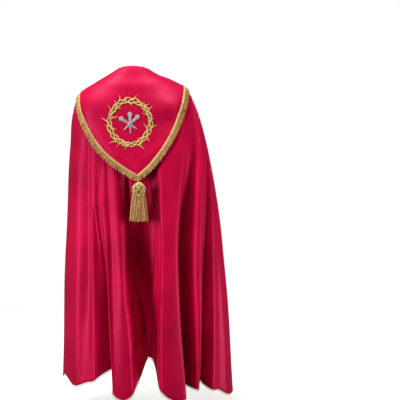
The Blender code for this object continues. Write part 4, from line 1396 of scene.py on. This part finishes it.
def make_tassel():
    """The tassel at the hood's point: form, knot, loop and skirt."""
    show(turned_head(), "gold_tassel", "tassel")
    knot = grow("tassel_knot", knot_lines(), laid_tree(), {
        "Strands": 1, "Pitch": 1.0, "Radius": KNOT_STRAND, "Sides": 5, "Spacing": 0.0012,
        "Material": thread("gold_braid_thread"),
    })
    top = tassel_top()
    route = np.array([
        hood_point(LOOP_SEWN_UP) - (0, LOOP_RADIUS, 0), hood_point(0.0) - (0, LOOP_RADIUS, 0),
        top + (0, *LOOP_SLANT), top - (0, 0, TASSEL_ROOT),
    ])
    steps = np.linspace(0, 3, LOOP_SAMPLES)
    path = np.stack([along(np.arange(4), route[:, axis], steps) for axis in range(3)], axis=-1)
    face = np.tile([1.0, 0.0, 0.0], (len(path), 1))
    loop = grow("tassel_loop", [{"points": path, "face": face}], laid_tree(), {
        "Strands": 3, "Across": 0.0014, "Out": 0.0014, "Pitch": 0.011, "Radius": 0.0013, "Sides": 5,
        "Spacing": 0.0012, "Material": thread("gold_bullion_thread"), **TWIST,
    })

    draw = np.random.default_rng(SEEDS["tassel"])
    lines = []
    for count, reach in SKIRT_RINGS:
        turn = math.tau * (np.arange(count) + draw.uniform(*WITHIN_ITS_SPACE, count)) / count
        around = round_tassel(turn) * reach
        root, _ = head_place(turn, knot_end(turn) - SKIRT_ROOT[0], -SKIRT_ROOT[1])
        root[:, :2] = top[:2] + (root[:, :2] - top[:2]) * reach
        drift = draw.normal(0, SKIRT_DRIFT, (count, 3)) * np.array([1, TASSEL_FLATNESS, 0])
        end = top + around * TASSEL_SKIRT_BOTTOM + drift
        length = TASSEL_SKIRT_LENGTH * draw.uniform(*SKIRT_CUT, count)
        end[:, 2] = top[2] - TASSEL_HEAD_HEIGHT - length
        lines.append({"points": root, "way": end - root, "face": unit(around + [0, 0, 1e-6])})
    skirt = grow("tassel_skirt", lines, hanging_tree(), {
        "Thread": sizes().tassel_thread, "Bow": 0.0040, "Spread": 0.008, "Uneven": 0.02,
        "Segments": 7, "Seed": 3, "Material": thread("gold_bullion_thread"),
    })
    for piece in (knot, loop, skirt):
        show(piece, "gold_tassel")


# ---------------- stage
CAMERA_AT = (0.0, -2.58, -0.5406)
CAMERA_LENS = 53.66  # on a 36 mm sensor
CAMERA_PAN = math.atan(67 / 596.3)  # to the right, which puts the cope left of the middle
FLOOR_DROP = 1.46  # the wearer's shoulders stand this high
FLOOR_RADIUS = 4.0
FLOOR_FADE = (1.0, 3.4)  # metres from the middle over which the paper fades into the backdrop
FLOOR_GLOW = 0.45
PAPER_GRAIN = 1 / 300
PAPER_BUMP = (0.1, 0.0003)
WORLD_WHITE = 1.0  # the backdrop
WORLD_FILL = 0.07  # what it adds to the light
LIGHTS = {  # where each stands, what it is aimed at, its two sides, and watts
    "overhead_softbox": ((-0.3, -0.55, 2.05), (0.0, 0.0, -0.2), (1.0, 0.7), 94),
    "key_softbox": ((-2.8, -1.6, -0.35), (0.0, 0.0, -1.0), (0.7, 1.6), 78),
    "right_softbox": ((2.9, -1.3, -0.85), (0.1, 0.0, -1.2), (0.7, 1.6), 68),
    "front_softbox": ((1.2, 3.0, 0.3), (0.0, 0.0, -0.7), (1.0, 1.6), 45),
}


def seamless_paper():
    """Matt white studio paper: a plain pale ground with hardly any shine."""
    material, tree, place = new_material("seamless_paper")
    level = vector_maths(tree, "MULTIPLY", place, (1, 1, 0))
    away = wire(tree, "ShaderNodeVectorMath", {0: level}, "Value", operation="LENGTH")
    shade(tree, {
        "Base Color": opaque(colours().floor), "Roughness": 0.9,
        "Emission Color": opaque(colours().floor), "Emission Strength": FLOOR_GLOW,
        "Alpha": remap(tree, away, *FLOOR_FADE, 1.0, 0.0, interpolation_type="SMOOTHSTEP"),
        "Normal": bump(tree, noise(tree, place, PAPER_GRAIN, 2.0), *PAPER_BUMP),
    })
    return material


def make_stage():
    """The floor, the world, the lights and the camera."""
    scene = bpy.context.scene
    ground = bmesh.new()
    bmesh.ops.create_circle(ground, cap_ends=True, segments=96, radius=FLOOR_RADIUS)
    bmesh.ops.translate(ground, vec=(0, 0, -FLOOR_DROP), verts=ground.verts)
    floor = from_bmesh("floor", ground, seamless_paper())
    scene.collection.objects.link(floor)
    floor.visible_glossy = False  # satin seen edge-on would turn grey with the paper's reflection
    floor.visible_diffuse = False

    scene.world = bpy.data.worlds.new("studio")
    scene.world.use_nodes = True
    tree = scene.world.node_tree
    tree.nodes.clear()
    seen = wire(tree, "ShaderNodeLightPath", output="Is Camera Ray")
    strength = remap(tree, seen, 0.0, 1.0, WORLD_FILL, WORLD_WHITE)
    sky = wire(tree, "ShaderNodeBackground", {"Color": (1, 1, 1, 1), "Strength": strength})
    add(tree, "ShaderNodeOutputWorld", {"Surface": sky})
    scene.view_settings.view_transform = "Standard"

    for name, (at, to, sides, watts) in LIGHTS.items():
        lamp = bpy.data.lights.new(name, "AREA")
        lamp.shape = "RECTANGLE"
        lamp.size, lamp.size_y = sides
        lamp.energy = watts
        made = bpy.data.objects.new(name, lamp)
        made.location = at
        made.rotation_mode = "QUATERNION"
        made.rotation_quaternion = Vector(np.subtract(to, at)).to_track_quat("-Z", "Y")
        scene.collection.objects.link(made)

    camera = bpy.data.cameras.new("camera")
    camera.lens = CAMERA_LENS
    camera.sensor_width = 36.0
    made = bpy.data.objects.new("camera", camera)
    made.location = CAMERA_AT
    made.rotation_euler = (math.pi / 2, 0, -CAMERA_PAN)
    scene.collection.objects.link(made)
    scene.camera = made


# ---------------- operators and panel
class COPE_OT_body(bpy.types.Operator):
    """Make the satin body: two quarter-circle panels that hang in folds."""

    bl_idname = "cope.body"
    bl_label = "Satin body"

    def execute(self, context):
        for side in ("left", "right"):
            make_panel(side)
        return {"FINISHED"}


class COPE_OT_hood(bpy.types.Operator):
    """Make the hood flap with its soft dents, its embroidery and its fringe."""

    bl_idname = "cope.hood"
    bl_label = "Hood"

    def execute(self, context):
        hood = make_hood()
        trim = make_embroidery() + make_fringe()
        return {"FINISHED"}


class COPE_OT_piping(bpy.types.Operator):
    """Make the two-ply piping along the hem and the front edges."""

    bl_idname = "cope.piping"
    bl_label = "Piping"

    def execute(self, context):
        make_piping()
        return {"FINISHED"}


class COPE_OT_tab(bpy.types.Operator):
    """Make the tab that holds the fronts together, with its stitches."""

    bl_idname = "cope.tab"
    bl_label = "Clasp tab"

    def execute(self, context):
        make_tab()
        return {"FINISHED"}


class COPE_OT_tassel(bpy.types.Operator):
    """Make the tassel at the hood's point."""

    bl_idname = "cope.tassel"
    bl_label = "Tassel"

    def execute(self, context):
        make_tassel()
        return {"FINISHED"}


class COPE_OT_stage(bpy.types.Operator):
    """Make the floor, the lights and the camera."""

    bl_idname = "cope.stage"
    bl_label = "Stage"

    def execute(self, context):
        make_stage()
        return {"FINISHED"}


class COPE_PT_pieces(bpy.types.Panel):
    """The cope's sizes, colours and pieces."""

    bl_idname = "COPE_PT_pieces"
    bl_label = "Cope"
    bl_space_type = "VIEW_3D"
    bl_region_type = "UI"
    bl_category = "Cope"

    def draw(self, context):
        for group in (context.scene.cope_sizes, context.scene.cope_colours):
            box = self.layout.box()
            for name in group.__annotations__:
                box.prop(group, name)
        for operator in OPERATORS:
            self.layout.operator(operator.bl_idname)


OPERATORS = (COPE_OT_body, COPE_OT_hood, COPE_OT_piping, COPE_OT_tab, COPE_OT_tassel, COPE_OT_stage)
CLASSES = (CopeSizes, CopeColours, *OPERATORS, COPE_PT_pieces)


def register():
    for each in CLASSES:
        bpy.utils.register_class(each)
    bpy.types.Scene.cope_sizes = bpy.props.PointerProperty(type=CopeSizes)
    bpy.types.Scene.cope_colours = bpy.props.PointerProperty(type=CopeColours)


def unregister():
    del bpy.types.Scene.cope_colours
    del bpy.types.Scene.cope_sizes
    for each in reversed(CLASSES):
        bpy.utils.unregister_class(each)


def main():
    register()
    for operator in OPERATORS:
        category, name = operator.bl_idname.split(".")
        getattr(getattr(bpy.ops, category), name)()


if __name__ == "__main__":
    main()
